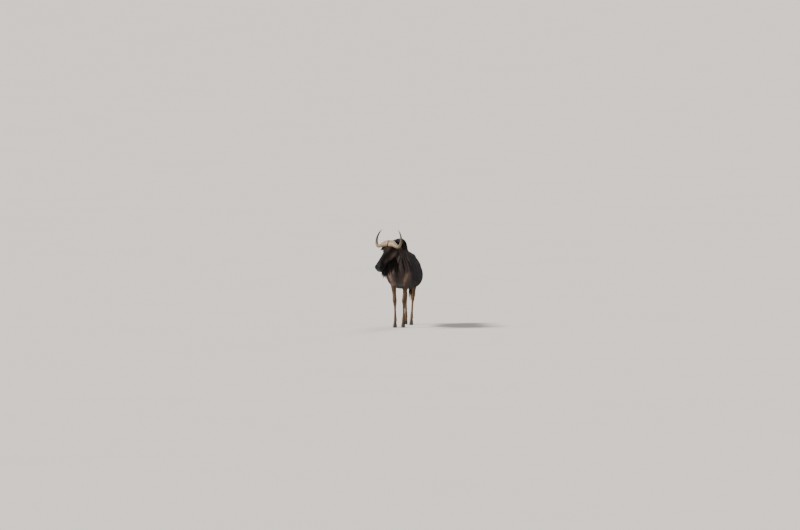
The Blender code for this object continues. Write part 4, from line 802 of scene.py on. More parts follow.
def patchOf(points):
    # an unwrap of the skin's own shape: trunk and neck, head and each leg are rolled flat round their own axes
    x, y, z = points.T
    turn = (np.arctan2(x, z - np.interp(y, (-0.4, 0.0, 1.2), (1.2, 1.0, 0.95))) / (2 * pi) + 0.5)
    u, v = 0.02 + 0.58 * turn, 0.02 + 0.96 * np.clip((y + 0.46) / 1.68, 0, 1)
    local = inHead(points)
    head, leg = headShare(points) > 0.35, legShare(points) > 0.5
    roll = np.arctan2(local[:, 2], local[:, 1]) / (2 * pi) + 0.5
    u = np.where(head, 0.63 + 0.35 * roll, u)
    v = np.where(head, 0.56 + 0.42 * np.clip((local[:, 0] + 0.05) / 0.58, 0, 1), v)
    for k, (name, (stations, side, step, out)) in enumerate(legs.items()):
        centreX = side * np.interp(z, stations[::-1, 0], stations[::-1, 2])
        centreY = np.interp(z, stations[::-1, 0], stations[::-1, 1]) + step * stepOf(z)
        on = leg & (x * side > 0) & ((y > 0.5) == name.startswith("hind"))
        round_ = np.arctan2(x - centreX, y - centreY) / (2 * pi) + 0.5
        u = np.where(on, 0.63 + 0.09 * k + 0.08 * round_, u)
        v = np.where(on, 0.02 + 0.48 * np.clip(z / 0.78, 0, 1), v)
    return np.clip(np.stack([u, v], axis=-1), 0.004, 0.996)


def faceArrays(mesh):
    mesh.calc_loop_triangles()
    corners = np.empty(len(mesh.loop_triangles) * 3, np.int32)
    mesh.loop_triangles.foreach_get("vertices", corners)
    return corners.reshape(-1, 3)


def rootsOn(mesh, densityOf, rng):
    # places spread over the skin, so many in each triangle as its area and the wanted density ask
    corners = faceArrays(mesh)
    points, normals = pointsOf(mesh), pointsOf(mesh, "normal")
    a, b, c = points[corners[:, 0]], points[corners[:, 1]], points[corners[:, 2]]
    area = np.linalg.norm(np.cross(b - a, c - a), axis=1) / 2
    wanted = area * densityOf((a + b + c) / 3) / thin
    number = np.floor(wanted + rng.random(len(wanted))).astype(int)
    pick = np.repeat(np.arange(len(corners)), number)
    s, t = rng.random(len(pick)), rng.random(len(pick))
    over = s + t > 1
    s, t = np.where(over, 1 - s, s)[:, None], np.where(over, 1 - t, t)[:, None]
    a, b, c = corners[pick].T
    place = points[a] * (1 - s - t) + points[b] * s + points[c] * t
    return place, unit(normals[a] * (1 - s - t) + normals[b] * s + normals[c] * t)


coatForm = {"trunkDensity": 27500, "legDensity": 60000, "faceDensity": 128000, "earDensity": 105000,
            "trunkLength": 0.022, "legLength": 0.0110, "faceLength": 0.0078, "earLength": 0.0110,
            "trunkWidth": 0.0029, "legWidth": 0.0020, "faceWidth": 0.00150, "rise": 0.105}


def faceHair(points):
    # nothing on the neck and one on the face: the hair grows shorter over the poll and the cheek
    along, up, _ = inHead(points).T
    return headShare(points) * smoothStep(-0.02, 0.17, along - 0.25 * up)


def coatDensity(points):
    head, leg, ear = faceHair(points), legShare(points), earShare(points)[0]
    density = coatForm["trunkDensity"] + (coatForm["legDensity"] - coatForm["trunkDensity"]) * leg
    density = density + (coatForm["faceDensity"] - density) * head
    density = density + (coatForm["earDensity"] - density) * ear
    return density * (bareShare(points) < 0.95) * (points[:, 2] > 0.062)


def shortCoat(mesh, rng):
    place, normal = rootsOn(mesh, coatDensity, rng)
    haired = bareShare(place) < rng.uniform(0.25, 0.60, len(place))  # the hair thins out at naked skin
    place, normal = place[haired], normal[haired]
    count = len(place)
    head, leg, ear = headShare(place), legShare(place), earShare(place)[0]
    short = faceHair(place)

    def byRegion(trunk, shin, face, earValue):
        value = trunk + (shin - trunk) * leg
        value = value + (face - value) * short
        return value + (earValue - value) * ear

    length = byRegion(coatForm["trunkLength"], coatForm["legLength"], coatForm["faceLength"], coatForm["earLength"])
    length = length * rng.uniform(0.65, 1.2, count)
    along, up, left = inHead(place).T
    length = length * (1 - 0.40 * smoothStep(0.36, 0.46, along) * head) * (1 - 0.6 * bareShare(place))
    brow = head * bell(along, 0.05, 0.06) * smoothStep(0.05, 0.08, up)
    dock = smoothStep(1.150, 1.172, place[:, 1])
    length = length * (1 + 1.4 * brow) + 0.014 * dock + 0.008 * earShare(place)[2] * ear
    width = byRegion(coatForm["trunkWidth"], coatForm["legWidth"], coatForm["faceWidth"], 0.0018) * rng.uniform(0.7, 1.2, count)
    lie = lieOf(place, normal)
    stray = rng.normal(0, 0.16, count)[:, None]
    lie = unit(lie * np.cos(stray) + np.cross(normal, lie) * np.sin(stray))
    rise = coatForm["rise"] * rng.uniform(0.55, 1.35, count) * (1 + 0.8 * brow + 0.4 * short)
    at = np.array([0.0, 0.5, 1.0])
    root = byRegion(-0.0010, -0.0005, -0.0003, -0.0003)
    tip = length * rise * rng.uniform(0.5, 1.0, count) + byRegion(0.0, 0.0005, 0.0004, 0.0003)
    lift = np.stack([root, length * rise * 0.62, tip], axis=-1)
    paths = place[:, None] + lie[:, None] * (length[:, None] * at)[..., None] + normal[:, None] * lift[..., None]
    hue = markings(place)
    tone = rng.uniform(0.74, 1.28, count)[:, None, None] * np.array([0.80, 1.0, 1.14])[None, :, None]
    colour = np.clip(hue[:, None] * tone, 0.003, 0.9)
    wide = width[:, None] * np.array([0.75, 1.0, 0.0])
    thick = np.full((count, 3), 1.0) * width[:, None] * np.array([0.30, 0.28, 0.0])
    out = np.repeat(normal[:, None], 3, axis=1)
    patch = patchOf(place)
    groups = {}
    onHead = (head > 0.35) | (ear > 0.3)
    onLeg = (leg > 0.5) & ~onHead
    rest = ~onHead & ~onLeg
    groups["coat_face"] = onHead & (ear <= 0.3)
    groups["coat_ears"] = ear > 0.3
    groups["coat_legs"] = onLeg
    bounds = np.quantile(place[rest, 1], [0, 0.25, 0.5, 0.75, 1.0])
    for k, label in enumerate(("neck", "shoulder", "barrel", "rump")):
        groups["coat_" + label] = rest & (place[:, 1] >= bounds[k]) & ((place[:, 1] < bounds[k + 1]) | (k == 3))
    made = []
    for label, chosen in groups.items():
        rows = [0, 1, 2] if rest[chosen].all() else [0, 2]  # short tufts on head and legs are straight
        made.append(lockMesh(label, *(part[chosen][:, rows] for part in (paths, out, wide, thick, colour)), patch[chosen]))
        print("coat", label, int(chosen.sum()), "tufts")
    return made


# ---- long hair: guides walked over the skin, and finer locks that gather towards each guide's tip

def lieAlong(tree, start, heading, length, count, pull):
    points, normals = [], []
    place, heading, pull = Vector(start), Vector(heading), Vector(pull)
    for _ in range(count):
        spot, normal, _, _ = tree.find_nearest(place)
        points.append(spot)
        normals.append(normal)
        heading = heading + pull
        heading = (heading - heading.dot(normal) * normal).normalized()
        place = spot + heading * (length / (count - 1))
    return np.array(points), np.array(normals)


def gathered(rng, guides, outs, each, spread, gather, shorten, layer):
    # each guide's copies: moved sideways at the root, drawn together towards the tip, cut to varied lengths
    count, stations = guides.shape[:2]
    share = np.linspace(0, 1, stations)
    tangent = unit(np.gradient(guides, axis=1))
    side = np.cross(tangent, unit(outs))
    total = count * each
    owner = np.repeat(np.arange(count), each)
    cut = rng.uniform(shorten, 1.0, total)
    at = cut[:, None] * share[None, :] * (stations - 1)
    low = np.clip(np.floor(at).astype(int), 0, stations - 2)
    part = (at - low)[..., None]

    def along(values):
        return values[owner[:, None], low] * (1 - part) + values[owner[:, None], low + 1] * part

    paths, out, across = along(guides), along(outs), along(side)
    keep = 1 - gather * smoothStep(0.15, 1.0, cut[:, None] * share)
    sideways = rng.uniform(-1, 1, total)[:, None] * spread * keep
    depth = rng.uniform(-1, 1, total)[:, None] * layer * keep * smoothStep(0, 0.25, share)
    curl = rng.uniform(0.3, 1.0, total)[:, None] * 0.0022 * np.sin(share * rng.uniform(4, 9, total)[:, None] + rng.uniform(0, 6, total)[:, None]) * share
    paths = paths + across * (sideways + curl)[..., None] + out * depth[..., None]
    return paths, out, owner, cut


hairColours = {"dark": (0.0055, 0.0048, 0.0056), "brown": (0.024, 0.015, 0.011), "pale": (0.085, 0.068, 0.056)}


def hairHue(rng, owner, stations, paleShare, guides):
    # near black, browner towards the tips, with a few pale sun-worn locks
    total = len(owner)
    share = np.linspace(0, 1, stations)[None, :, None]
    worn = (rng.random(guides) < paleShare)[owner] * rng.uniform(0.3, 1.0, total) + (rng.random(total) < paleShare * 0.5) * 0.5
    worn = np.clip(worn, 0, 1)[:, None, None]
    dark, brown, pale = (np.array(hairColours[k])[None, None] for k in ("dark", "brown", "pale"))
    hue = dark + (brown - dark) * 0.55 * share ** 1.5
    hue = hue + (pale - hue) * worn * (0.35 + 0.65 * share)
    return hue * rng.uniform(0.7, 1.35, total)[:, None, None]


def hairPiece(name, rng, paths, out, owner, guides, width, thick, paleShare, spots):
    total, stations = paths.shape[:2]
    taper = np.interp(np.linspace(0, 1, stations), (0, 0.2, 0.65, 1.0), (0.75, 1.0, 0.70, 0.0))
    size = rng.uniform(0.7, 1.25, total)[:, None] * taper
    hue = hairHue(rng, owner, stations, paleShare, guides)
    return lockMesh(name, paths, out, width * size, thick * size, hue, spots)


maneForm = {"from": -0.392, "to": 0.140, "guides": 110, "each": 26, "crestGuides": 84, "crestEach": 15, "stations": 7, "width": 0.0030, "thick": 0.0010}


def crestAt(tree, y):
    sideways = float(np.interp(y, neckStations[::-1, 0], neckStations[::-1, 1]))
    return tree.ray_cast(Vector((sideways, y, 2.0)), Vector((0, 0, -1)))[0]


def makeMane(tree, rng):
    # guides start on the crest, rise and fall over the side of the neck, longest over its middle
    pieces = []
    knots = np.array([0, 0.25, 0.5, 0.75, 1.0])
    for side, label in ((1, "left"), (-1, "right")):
        guides, outs = [], []
        for k in range(maneForm["guides"]):
            share = (k + 0.5) / maneForm["guides"]
            y = maneForm["from"] + (maneForm["to"] - maneForm["from"]) * share + rng.uniform(-0.004, 0.004)
            full = np.interp(share, (0, 0.15, 0.55, 0.85, 1), (0.12, 0.21, 0.27, 0.22, 0.12))
            heading = (side, rng.uniform(0.0, 0.9), 0.3)
            base, out = lieAlong(tree, crestAt(tree, y), heading, full * rng.uniform(0.72, 1.06), maneForm["stations"], (0, 0.05, -0.5))
            tall = rng.choice([0.046, 0.034, 0.022, 0.014], p=[0.25, 0.25, 0.3, 0.2]) * np.interp(share, (0, 0.12, 0.85, 1), (0.8, 1, 1, 0.5))
            heights = np.array([(-0.003, tall, 0.6 * tall + 0.008, 0.013, 0.006)]).T
            guide = base + out * curveThrough(knots, heights, np.linspace(0, 1, maneForm["stations"]))
            guide[1:-1] = (guide[:-2] + 2 * guide[1:-1] + guide[2:]) / 4
            guides.append(guide)
            outs.append(out)
        guides, outs = np.array(guides), np.array(outs)
        paths, out, owner, cut = gathered(rng, guides, outs, maneForm["each"] // thin + 1, 0.011, 0.62, 0.62, 0.005)
        u = 0.02 + 0.96 * (owner + rng.random(len(owner))) / maneForm["guides"]
        spots = np.stack([u, 0.02 + 0.96 * rng.random(len(owner))], axis=-1)
        pieces.append(hairPiece("mane_" + label, rng, paths, out, owner, maneForm["guides"], maneForm["width"], maneForm["thick"], 0.10, spots))
        print("mane", label, len(paths), "locks")
    pieces.append(makeCrest(tree, rng))
    return pieces


def makeCrest(tree, rng):
    # the middle row stands up from the crest, then leans over to one side or the other
    count, stations = maneForm["crestGuides"], maneForm["stations"]
    share = (np.arange(count) + 0.5) / count
    y = maneForm["from"] + (maneForm["to"] - maneForm["from"]) * share
    start = np.array([crestAt(tree, at) for at in y])
    side = rng.uniform(-1, 1, count)
    length = np.interp(share, (0, 0.15, 0.6, 1), (0.09, 0.15, 0.16, 0.07)) * rng.uniform(0.75, 1.1, count)
    fall = np.linspace(0, 1, stations)[None, :]
    across = side[:, None] * (0.40 * fall + 0.60 * fall ** 2)
    back = (rng.uniform(0.10, 0.45, count) + 0.45 * (1 - np.abs(side)))[:, None] * fall
    rise = 0.60 * fall - (0.30 + 0.30 * np.abs(side))[:, None] * fall ** 2.2 - 0.03
    guides = start[:, None] + length[:, None, None] * np.stack([across, back, rise], axis=-1)
    outs = np.stack([np.repeat(0.6 * side[:, None], stations, 1), 0 * back - 0.2, 0 * back + 1.0], axis=-1)
    paths, out, owner, cut = gathered(rng, guides, outs, maneForm["crestEach"] // thin + 1, 0.013, 0.55, 0.60, 0.004)
    spots = np.stack([0.02 + 0.96 * (owner + rng.random(len(owner))) / count, 0.02 + 0.96 * rng.random(len(owner))], axis=-1)
    print("mane crest", len(paths), "locks")
    return hairPiece("mane_crest", rng, paths, out, owner, count, 0.0022, maneForm["thick"], 0.08, spots)


beardForm = {"guides": 130, "each": 36, "stations": 7, "width": 0.0026, "thick": 0.0010}


def beardLine(tree, at):
    # the middle line under the chin, jaw and throat, down to the brisket
    aims = [(headPoint(along, -0.18, 0.0), browWay) for along in np.linspace(0.445, 0.170, 8)]
    aims += [(np.array([-0.012, -0.90, height]), np.array([0, 1, 0])) for height in np.linspace(1.085, 0.930, 6)]
    line = np.array([tree.ray_cast(Vector(start), Vector(way))[0] for start, way in aims])
    for _ in range(2):
        line[1:-1] = (line[:-2] + line[1:-1] + line[2:]) / 3
    line = np.array([tree.find_nearest(Vector(point))[0] for point in line])
    steps = np.concatenate([[0], np.cumsum(np.linalg.norm(np.diff(line, axis=0), axis=1))])
    return curveThrough(steps / steps[-1], line, np.atleast_1d(at))


def makeBeard(tree, rng):
    # guides hang from the jaw's and throat's middle line, fuller at the throat, swung a little forwards
    count, stations = beardForm["guides"], beardForm["stations"]
    share = (np.arange(count) + 0.5) / count
    row = rng.uniform(-1, 1, count)
    start = beardLine(tree, share) + np.multiply.outer(row * np.interp(share, (0, 0.3, 1), (0.012, 0.024, 0.020)), leftWay)
    start = np.array([tree.find_nearest(Vector(point))[0] for point in start])
    length = np.interp(share, (0, 0.15, 0.42, 0.6, 0.8, 1), (0.125, 0.245, 0.275, 0.215, 0.115, 0.065)) * rng.uniform(0.72, 1.06, count)
    fall = np.linspace(0, 1, stations)
    sway = rng.uniform(-0.010, 0.010, count) + row * 0.020
    swing = np.interp(share, (0, 0.5, 0.7, 1), (0.004, 0.012, 0.040, 0.050))[:, None] * np.sin(fall * 2.2)
    root = np.where(fall == 0, -0.008, 0.0)
    paths = start[:, None] + sway[:, None, None] * fall[None, :, None] * leftWay
    paths = paths - (length[:, None] * fall + root)[..., None] * sky
    paths = paths + swing[..., None] * np.array([0, -1.0, 0])
    wave = np.sin(fall * 5 + np.arange(count)[:, None]) * 0.005 * fall
    paths = paths + wave[..., None] * np.array([1.0, 0.4, 0])
    turn = rng.uniform(-1.2, 1.2, count) + row * 0.6
    out = np.repeat((np.multiply.outer(np.cos(turn), aheadWay) + np.multiply.outer(np.sin(turn), leftWay))[:, None], stations, axis=1)
    paths, out, owner, cut = gathered(rng, paths, out, beardForm["each"] // thin + 1, 0.015, 0.72, 0.55, 0.014)
    spots = np.stack([0.02 + 0.96 * (owner + rng.random(len(owner))) / count, 0.02 + 0.96 * rng.random(len(owner))], axis=-1)
    print("beard", len(paths), "locks")
    return hairPiece("beard_hair", rng, paths, out, owner, count, beardForm["width"], beardForm["thick"], 0.07, spots)


switchForm = {"guides": 100, "each": 34, "stations": 7, "width": 0.0030, "thick": 0.0010}


def makeSwitch(rng):
    # guides in tiers round the lower tail bone, falling past the hocks and drawn in at the end
    count, stations = switchForm["guides"], switchForm["stations"]
    share = 0.36 + 0.60 * (np.arange(count) + 0.5) / count
    y, z, radius = curveThrough(np.linspace(0, 1, len(dockStations)), dockStations, share).T
    turn = 2.4 * np.arange(count)
    way = np.stack([np.cos(turn), np.sin(turn) * 0.8, 0 * turn], axis=-1)
    length = rng.uniform(0.22, 0.335, count) * np.interp(share, (0.36, 0.46, 1.0), (0.45, 1.0, 1.0))
    fall = np.linspace(0, 1, stations)
    spread = (0.022 * np.sin(fall * 2.3) + 0.010 * fall)[None, :] * rng.uniform(0.7, 1.1, count)[:, None] + radius[:, None] * 0.5
    paths = np.stack([0 * y, y, z], axis=-1)[:, None] + spread[..., None] * way[:, None]
    paths = paths - (length[:, None] * fall)[..., None] * sky
    wave = np.sin(fall * 3 + np.arange(count)[:, None]) * 0.005 * fall
    paths = paths + wave[..., None] * np.array([1.0, 0.3, 0])
    out = np.repeat(way[:, None], stations, axis=1)
    paths, out, owner, cut = gathered(rng, paths, out, switchForm["each"] // thin + 1, 0.012, 0.55, 0.60, 0.006)
    spots = np.stack([0.02 + 0.96 * (owner + rng.random(len(owner))) / count, 0.02 + 0.96 * rng.random(len(owner))], axis=-1)
    print("tail switch", len(paths), "locks")
    return hairPiece("tail_switch", rng, paths, out, owner, count, switchForm["width"], switchForm["thick"], 0.05, spots)


# ---- horns, eyes and hooves

hornForm = {"reach": 0.285, "rings": 170, "around": 56}


def makeHorn(side):
    # an oval tube along the horn's line: rough boss, growth rings that fade outwards, smooth tip
    at = np.linspace(0, 1, hornForm["rings"]) ** 1.05
    share = np.linspace(0, 1, len(hornStations))
    out, up, ahead, wide, thick = curveThrough(share, hornStations, at).T
    out = out * hornForm["reach"] / hornStations[:, 0].max()
    boss = headPoint(0.045, 0.094, 0.0)
    centres = boss + np.multiply.outer(out * side, leftWay) + np.multiply.outer(up, sky) + np.multiply.outer(ahead, aheadWay)
    rounded = np.interp(at, (0, 0.004, 0.012, 0.03), (0.80, 0.90, 0.97, 1.0))
    rings = tubeRings(centres, wide * rounded, thick * rounded, faceWay, hornForm["around"])
    spokes = unit(rings - centres[:, None])
    flat = rings.reshape(-1, 3)
    rough = np.interp(at, (0, 0.18, 0.34, 0.5), (1.0, 0.9, 0.25, 0.0))[:, None]
    ribs = 0.0011 * np.sin(at * 150 + 1.5 * np.sin(at * 40))[:, None] * np.interp(at, (0.12, 0.25, 0.6, 0.8), (0, 1, 0.5, 0))[:, None]
    knobs = 0.0018 * patchNoise(flat, 50, 11) + 0.0017 * patchNoise(flat, 120, 12) + 0.0009 * patchNoise(flat, 280, 13)
    grooves = 0.0007 * patchNoise(flat * (1, 1, 1), 220, 14)
    rings = rings + spokes * (rough * knobs.reshape(rings.shape[:2]) + ribs + (1 - rough) * 0.3 * grooves.reshape(rings.shape[:2]) - 0.0014 * rough)[..., None]
    tan, grey, dark = np.array([0.330, 0.240, 0.145]), np.array([0.150, 0.112, 0.076]), np.array([0.020, 0.017, 0.016])
    part = at[:, None, None]
    noise = patchNoise(flat, 45, 15).reshape(rings.shape[:2])[..., None]
    pits = np.clip(-knobs.reshape(rings.shape[:2])[..., None] / 0.0022, 0, 1) * rough[..., None]
    hue = tan + (grey - tan) * smoothStep(0.22, 0.56, part + 0.05 * noise)
    hue = hue + (dark - hue) * smoothStep(0.55, 0.84, part + 0.03 * noise)
    hue = hue * (1 + 0.20 * noise) * (1 - 0.70 * pits)
    hue = hue * (1 - 0.5 * smoothStep(0.03, 0.0, part))
    ends = np.array([centres[0], centres[-1]])
    colour = np.concatenate([hue.reshape(-1, 3), hue[0].mean(0)[None], hue[-1].mean(0)[None]])
    name = "horn_left" if side > 0 else "horn_right"
    return ringMesh(name + "_keratin", rings, ends, np.clip(colour, 0.004, 0.9))


def makeEye(side, rows=72, around=96):
    # a ball with a clear bulge in front; a wide dark pupil lies along the lids in a brown ring
    centre, look, longWay, shortWay = eyeFrame(side)
    tilt = np.linspace(0, pi, rows + 1)[1:-1, None]
    turn = np.linspace(0, 2 * pi, around, endpoint=False)[None, :]
    run, rise, out = np.sin(tilt) * np.cos(turn), np.sin(tilt) * np.sin(turn), np.cos(tilt) + 0 * turn
    bulge = eyeForm["radius"] * (0.985 + 0.015 * smoothStep(0.55, 0.9, out))
    local = np.stack([run, rise, out], axis=-1) * bulge[..., None]
    basis = np.stack([longWay, shortWay, look]) @ headBasis
    rings = headPoint(*centre) + local @ basis
    pupil = smoothStep(1.12, 0.90, np.hypot(run / 0.50, rise / 0.30))
    reach = np.hypot(run, rise)
    iris = smoothStep(0.80, 0.72, reach)
    threads = 0.5 + 0.5 * np.sin(turn * 46 + 3 * np.sin(turn * 7))
    white, brown = np.array([0.010, 0.007, 0.006]), np.array([0.020, 0.0085, 0.0038])
    hue = white + (brown - white) * iris[..., None]
    hue = hue * (1 + 0.5 * (threads - 0.5) * iris)[..., None]
    hue = hue * (1 - 0.75 * bell(reach, 0.77, 0.05))[..., None]
    hue = hue + (np.array([0.003, 0.003, 0.005]) - hue) * (pupil * (out > 0))[..., None]
    ends = headPoint(*centre) + np.array([[0, 0, eyeForm["radius"]], [0, 0, -eyeForm["radius"]]]) @ basis
    colour = np.concatenate([hue.reshape(-1, 3), [[0.003, 0.003, 0.005], [0.03, 0.02, 0.016]]])
    return ringMesh("eyeball_left" if side > 0 else "eyeball_right", rings, ends, colour)


lashForm = {"upper": 54, "lower": 26, "upperLength": 0.0125, "lowerLength": 0.0065, "width": 0.0007}


def makeLashes(side, rng):
    # dark lashes along both lids' edges, pointing outwards and curling away from the eye
    centre, look, longWay, shortWay = eyeFrame(side)
    up = np.array([1] * lashForm["upper"] + [-1] * lashForm["lower"])
    count = len(up)
    run = np.concatenate([np.linspace(-0.0165, 0.0170, lashForm["upper"]), np.linspace(-0.0135, 0.0145, lashForm["lower"])])
    run = run + rng.normal(0, 0.0003, count)
    rise = up * (np.where(up > 0, 0.0145, 0.0110) * (1 - (run / 0.0200) ** 2) + 0.0008)
    outer = eyeForm["radius"] + eyeForm["lid"] - 0.0006
    out = np.sqrt(outer ** 2 - run ** 2 - rise ** 2)
    start = np.multiply.outer(run, longWay) + np.multiply.outer(rise, shortWay) + np.multiply.outer(out, look)
    length = np.where(up > 0, lashForm["upperLength"], lashForm["lowerLength"]) * rng.uniform(0.75, 1.1, count)
    fall = np.linspace(0, 1, 5)
    ahead = np.multiply.outer(0.80 * fall, look)[None]
    curl = (up[:, None] * (0.25 * fall + 0.35 * fall ** 2))[..., None] * shortWay
    lean = ((run * 22 + rng.normal(0, 0.06, count))[:, None] * fall)[..., None] * longWay
    paths = centre + start[:, None] + (ahead + curl + lean) * length[:, None, None]
    paths = headPoint(*paths.reshape(-1, 3).T).reshape(count, 5, 3)
    outs = np.tile((look * 0.5 + shortWay) @ headBasis, (count, 5, 1))
    taper = lashForm["width"] * np.array([1.0, 0.9, 0.7, 0.45, 0.0])
    size = np.tile(taper, (count, 1))
    hue = np.full((count, 5, 3), 0.006)
    return lockMesh("lashes_left" if side > 0 else "lashes_right", paths, outs, size, size * 0.6, hue, patchOf(paths[:, 0]))


hoofForm = {"length": 0.096, "cleft": 0.005, "gap": 0.0003, "rows": 40, "around": 48}


def makeClaw(name, label, inner):
    # half of a cloven hoof: flat sole, upright inner wall, sloping toe with growth rings
    footX, footY = footPlace(name)
    turn = np.linspace(0, pi, hoofForm["around"])[None, :]
    share = np.concatenate([[0, 0.012, 0.035], np.linspace(0.07, 0.96, hoofForm["rows"] - 5), [0.985, 1.0]])[:, None]
    edge = np.interp(share, (0, 0.012, 0.035, 0.985, 1.0), (0.0016, 0.0006, 0.0, 0.0, 0.0006))
    toe = footY - hoofForm["length"] * 0.60 + 0.030 * share + edge
    heel = footY + hoofForm["length"] * 0.40 - 0.008 * share - edge
    half = 0.0335 - 0.0050 * share
    bulge = np.sin(turn) ** 0.75 * (1 - 0.22 * np.clip(np.cos(turn), 0, 1) ** 2)
    wall = 0.00035 * np.sin(share * 62 + 2 * np.sin(share * 11)) * np.sin(turn) - 0.0004 * np.sin(turn)
    x = footX + inner * (hoofForm["cleft"] + (half - hoofForm["cleft"]) * bulge + wall * smoothStep(0, 0.06, share) - edge * np.sin(turn))
    y = (toe + heel) / 2 - (heel - toe) / 2 * np.cos(turn)
    coronet = footForm["coronet"] + footForm["slope"] * (y - footY)
    z = share * (coronet - hoofForm["gap"])
    rings = np.stack([x, y, z], axis=-1)
    flat = rings.reshape(-1, 3)
    streak = patchNoise(flat * (1, 1, 0.12), 260, 21).reshape(x.shape)[..., None]
    band = np.sin(share * 30)[..., None] * 0.5
    hue = np.array([0.040, 0.034, 0.031]) * (1 + 0.30 * streak + 0.20 * band)
    dust = smoothStep(0.22, 0.0, share)[..., None] * 0.45
    hue = hue + (np.array([0.16, 0.120, 0.085]) - hue) * dust
    hue = hue + (np.array([0.085, 0.070, 0.060]) - hue) * smoothStep(0.86, 1.0, share)[..., None] * 0.6
    colour = np.concatenate([hue.reshape(-1, 3), hue[0].mean(0)[None], hue[-1].mean(0)[None]])
    return ringMesh(f"hoof_{name}_{label}", rings, None, np.clip(colour, 0.004, 0.9))


def makeDewclaws():
    # two small blunt horn cones behind each fetlock, joined in one mesh
    tilt = np.linspace(0, pi, 15)[1:-1, None]
    turn = np.linspace(0, 2 * pi, 20, endpoint=False)[None, :]
    shape = np.stack([np.sin(tilt) * np.cos(turn), np.sin(tilt) * np.sin(turn), np.cos(tilt) + 0 * turn], axis=-1)
    shape = shape * np.array([0.0092, 0.0100, 0.0155]) * (1 + 0.02 * np.cos(tilt * 22))[..., None]
    made = []
    for name, (stations, side, step, out) in legs.items():
        y, x, deep, _ = curveThrough(stations[:, 0], stations[:, 1:], np.array([0.116]))[0]
        moved = float(stepOf(0.116))
        for k, across in enumerate((-0.014, 0.014)):
            centre = np.array([side * (x + out * moved) + across, y + step * moved + deep - 0.0040, 0.116])
            rings = centre + shape
            hue = np.tile(np.array([0.050, 0.040, 0.034]), (rings.shape[0] * rings.shape[1] + 2, 1))
            made.append(ringMesh(f"dewclaw_{name}_{k + 1}", rings, centre + np.array([[0, 0, 0.0155], [0, 0, -0.0155]]), hue))
    return made


# ---- finishes

def newMaterial(name):
    material = bpy.data.materials.new(name)
    material.use_nodes = True
    return material, material.node_tree.nodes, material.node_tree.links, material.node_tree.nodes["Principled BSDF"]


def stretchedNoise(nodes, links, source, scale, turn, detail=3.0, size=1.0):
    mapping = nodes.new("ShaderNodeMapping")
    mapping.inputs["Scale"].default_value = scale
    mapping.inputs["Rotation"].default_value = turn
    links.new(source, mapping.inputs["Vector"])
    noise = nodes.new("ShaderNodeTexNoise")
    noise.inputs["Scale"].default_value = size
    noise.inputs["Detail"].default_value = detail
    links.new(mapping.outputs["Vector"], noise.inputs["Vector"])
    return noise.outputs["Fac"]


def mixFloat(nodes, links, factor, first, second):
    mix = nodes.new("ShaderNodeMix")
    mix.data_type = "FLOAT"
    links.new(factor, mix.inputs["Factor"])
    for value, socket in ((first, "A"), (second, "B")):
        if isinstance(value, (int, float)):
            mix.inputs[socket].default_value = value
        else:
            links.new(value, mix.inputs[socket])
    return mix.outputs["Result"]


def colourAttribute(nodes, name):
    node = nodes.new("ShaderNodeAttribute")
    node.attribute_name = name
    return node


def shaded(nodes, links, hue, factor, low, high):
    # the attribute's colour times a factor that runs from low to high with the pattern
    spread = nodes.new("ShaderNodeMapRange")
    spread.inputs["From Min"].default_value, spread.inputs["From Max"].default_value = 0.3, 0.7
    spread.inputs["To Min"].default_value, spread.inputs["To Max"].default_value = low, high
    links.new(factor, spread.inputs["Value"])
    scale = nodes.new("ShaderNodeVectorMath")
    scale.operation = "SCALE"
    links.new(hue, scale.inputs[0])
    links.new(spread.outputs["Result"], scale.inputs["Scale"])
    return scale.outputs["Vector"]


def bumpInto(nodes, links, shader, height, strength, distance):
    bump = nodes.new("ShaderNodeBump")
    bump.inputs["Strength"].default_value = strength
    bump.inputs["Distance"].default_value = distance
    links.new(height, bump.inputs["Height"])
    links.new(bump.outputs["Normal"], shader.inputs["Normal"])


def skinMaterial():
    # short hair lying three ways, mixed by the shares painted on the skin, and pebbled naked skin
    material, nodes, links, shader = newMaterial("slate coat over skin")
    place = nodes.new("ShaderNodeTexCoord").outputs["Object"]
    shares = nodes.new("ShaderNodeSeparateColor")
    links.new(colourAttribute(nodes, "lieShares").outputs["Color"], shares.inputs["Color"])
    alongBody = stretchedNoise(nodes, links, place, (420, 50, 420), (0, 0, 0))
    downwards = stretchedNoise(nodes, links, place, (480, 480, 60), (0, 0, 0))
    turn = faceTurn()
    upFace = stretchedNoise(nodes, links, place, (75, 560, 560), turn)
    hair = mixFloat(nodes, links, shares.outputs["Green"], alongBody, downwards)
    hair = mixFloat(nodes, links, shares.outputs["Blue"], hair, upFace)
    pebbles = nodes.new("ShaderNodeTexVoronoi")
    pebbles.inputs["Scale"].default_value = 420
    links.new(place, pebbles.inputs["Vector"])
    bare = shares.outputs["Red"]
    grain = mixFloat(nodes, links, pebbles.outputs["Distance"], 0.40, 0.58)  # pebbles stand a quarter as high as the hair
    pattern = mixFloat(nodes, links, bare, hair, grain)
    links.new(shaded(nodes, links, colourAttribute(nodes, "hue").outputs["Color"], hair, 0.62, 1.35), shader.inputs["Base Color"])
    links.new(mixFloat(nodes, links, bare, 0.60, 0.44), shader.inputs["Roughness"])
    shader.inputs["Specular IOR Level"].default_value = 0.12
    shader.inputs["Sheen Weight"].default_value = 0.02
    shader.inputs["Sheen Roughness"].default_value = 0.45
    bumpInto(nodes, links, shader, pattern, 0.8, 0.0016)
    return material


def faceTurn():
    # Euler angles that turn the face's length onto the pattern's X axis
    right = np.cross(faceWay, browWay)
    turned = Matrix([faceWay, browWay, right])
    return tuple(turned.to_euler())


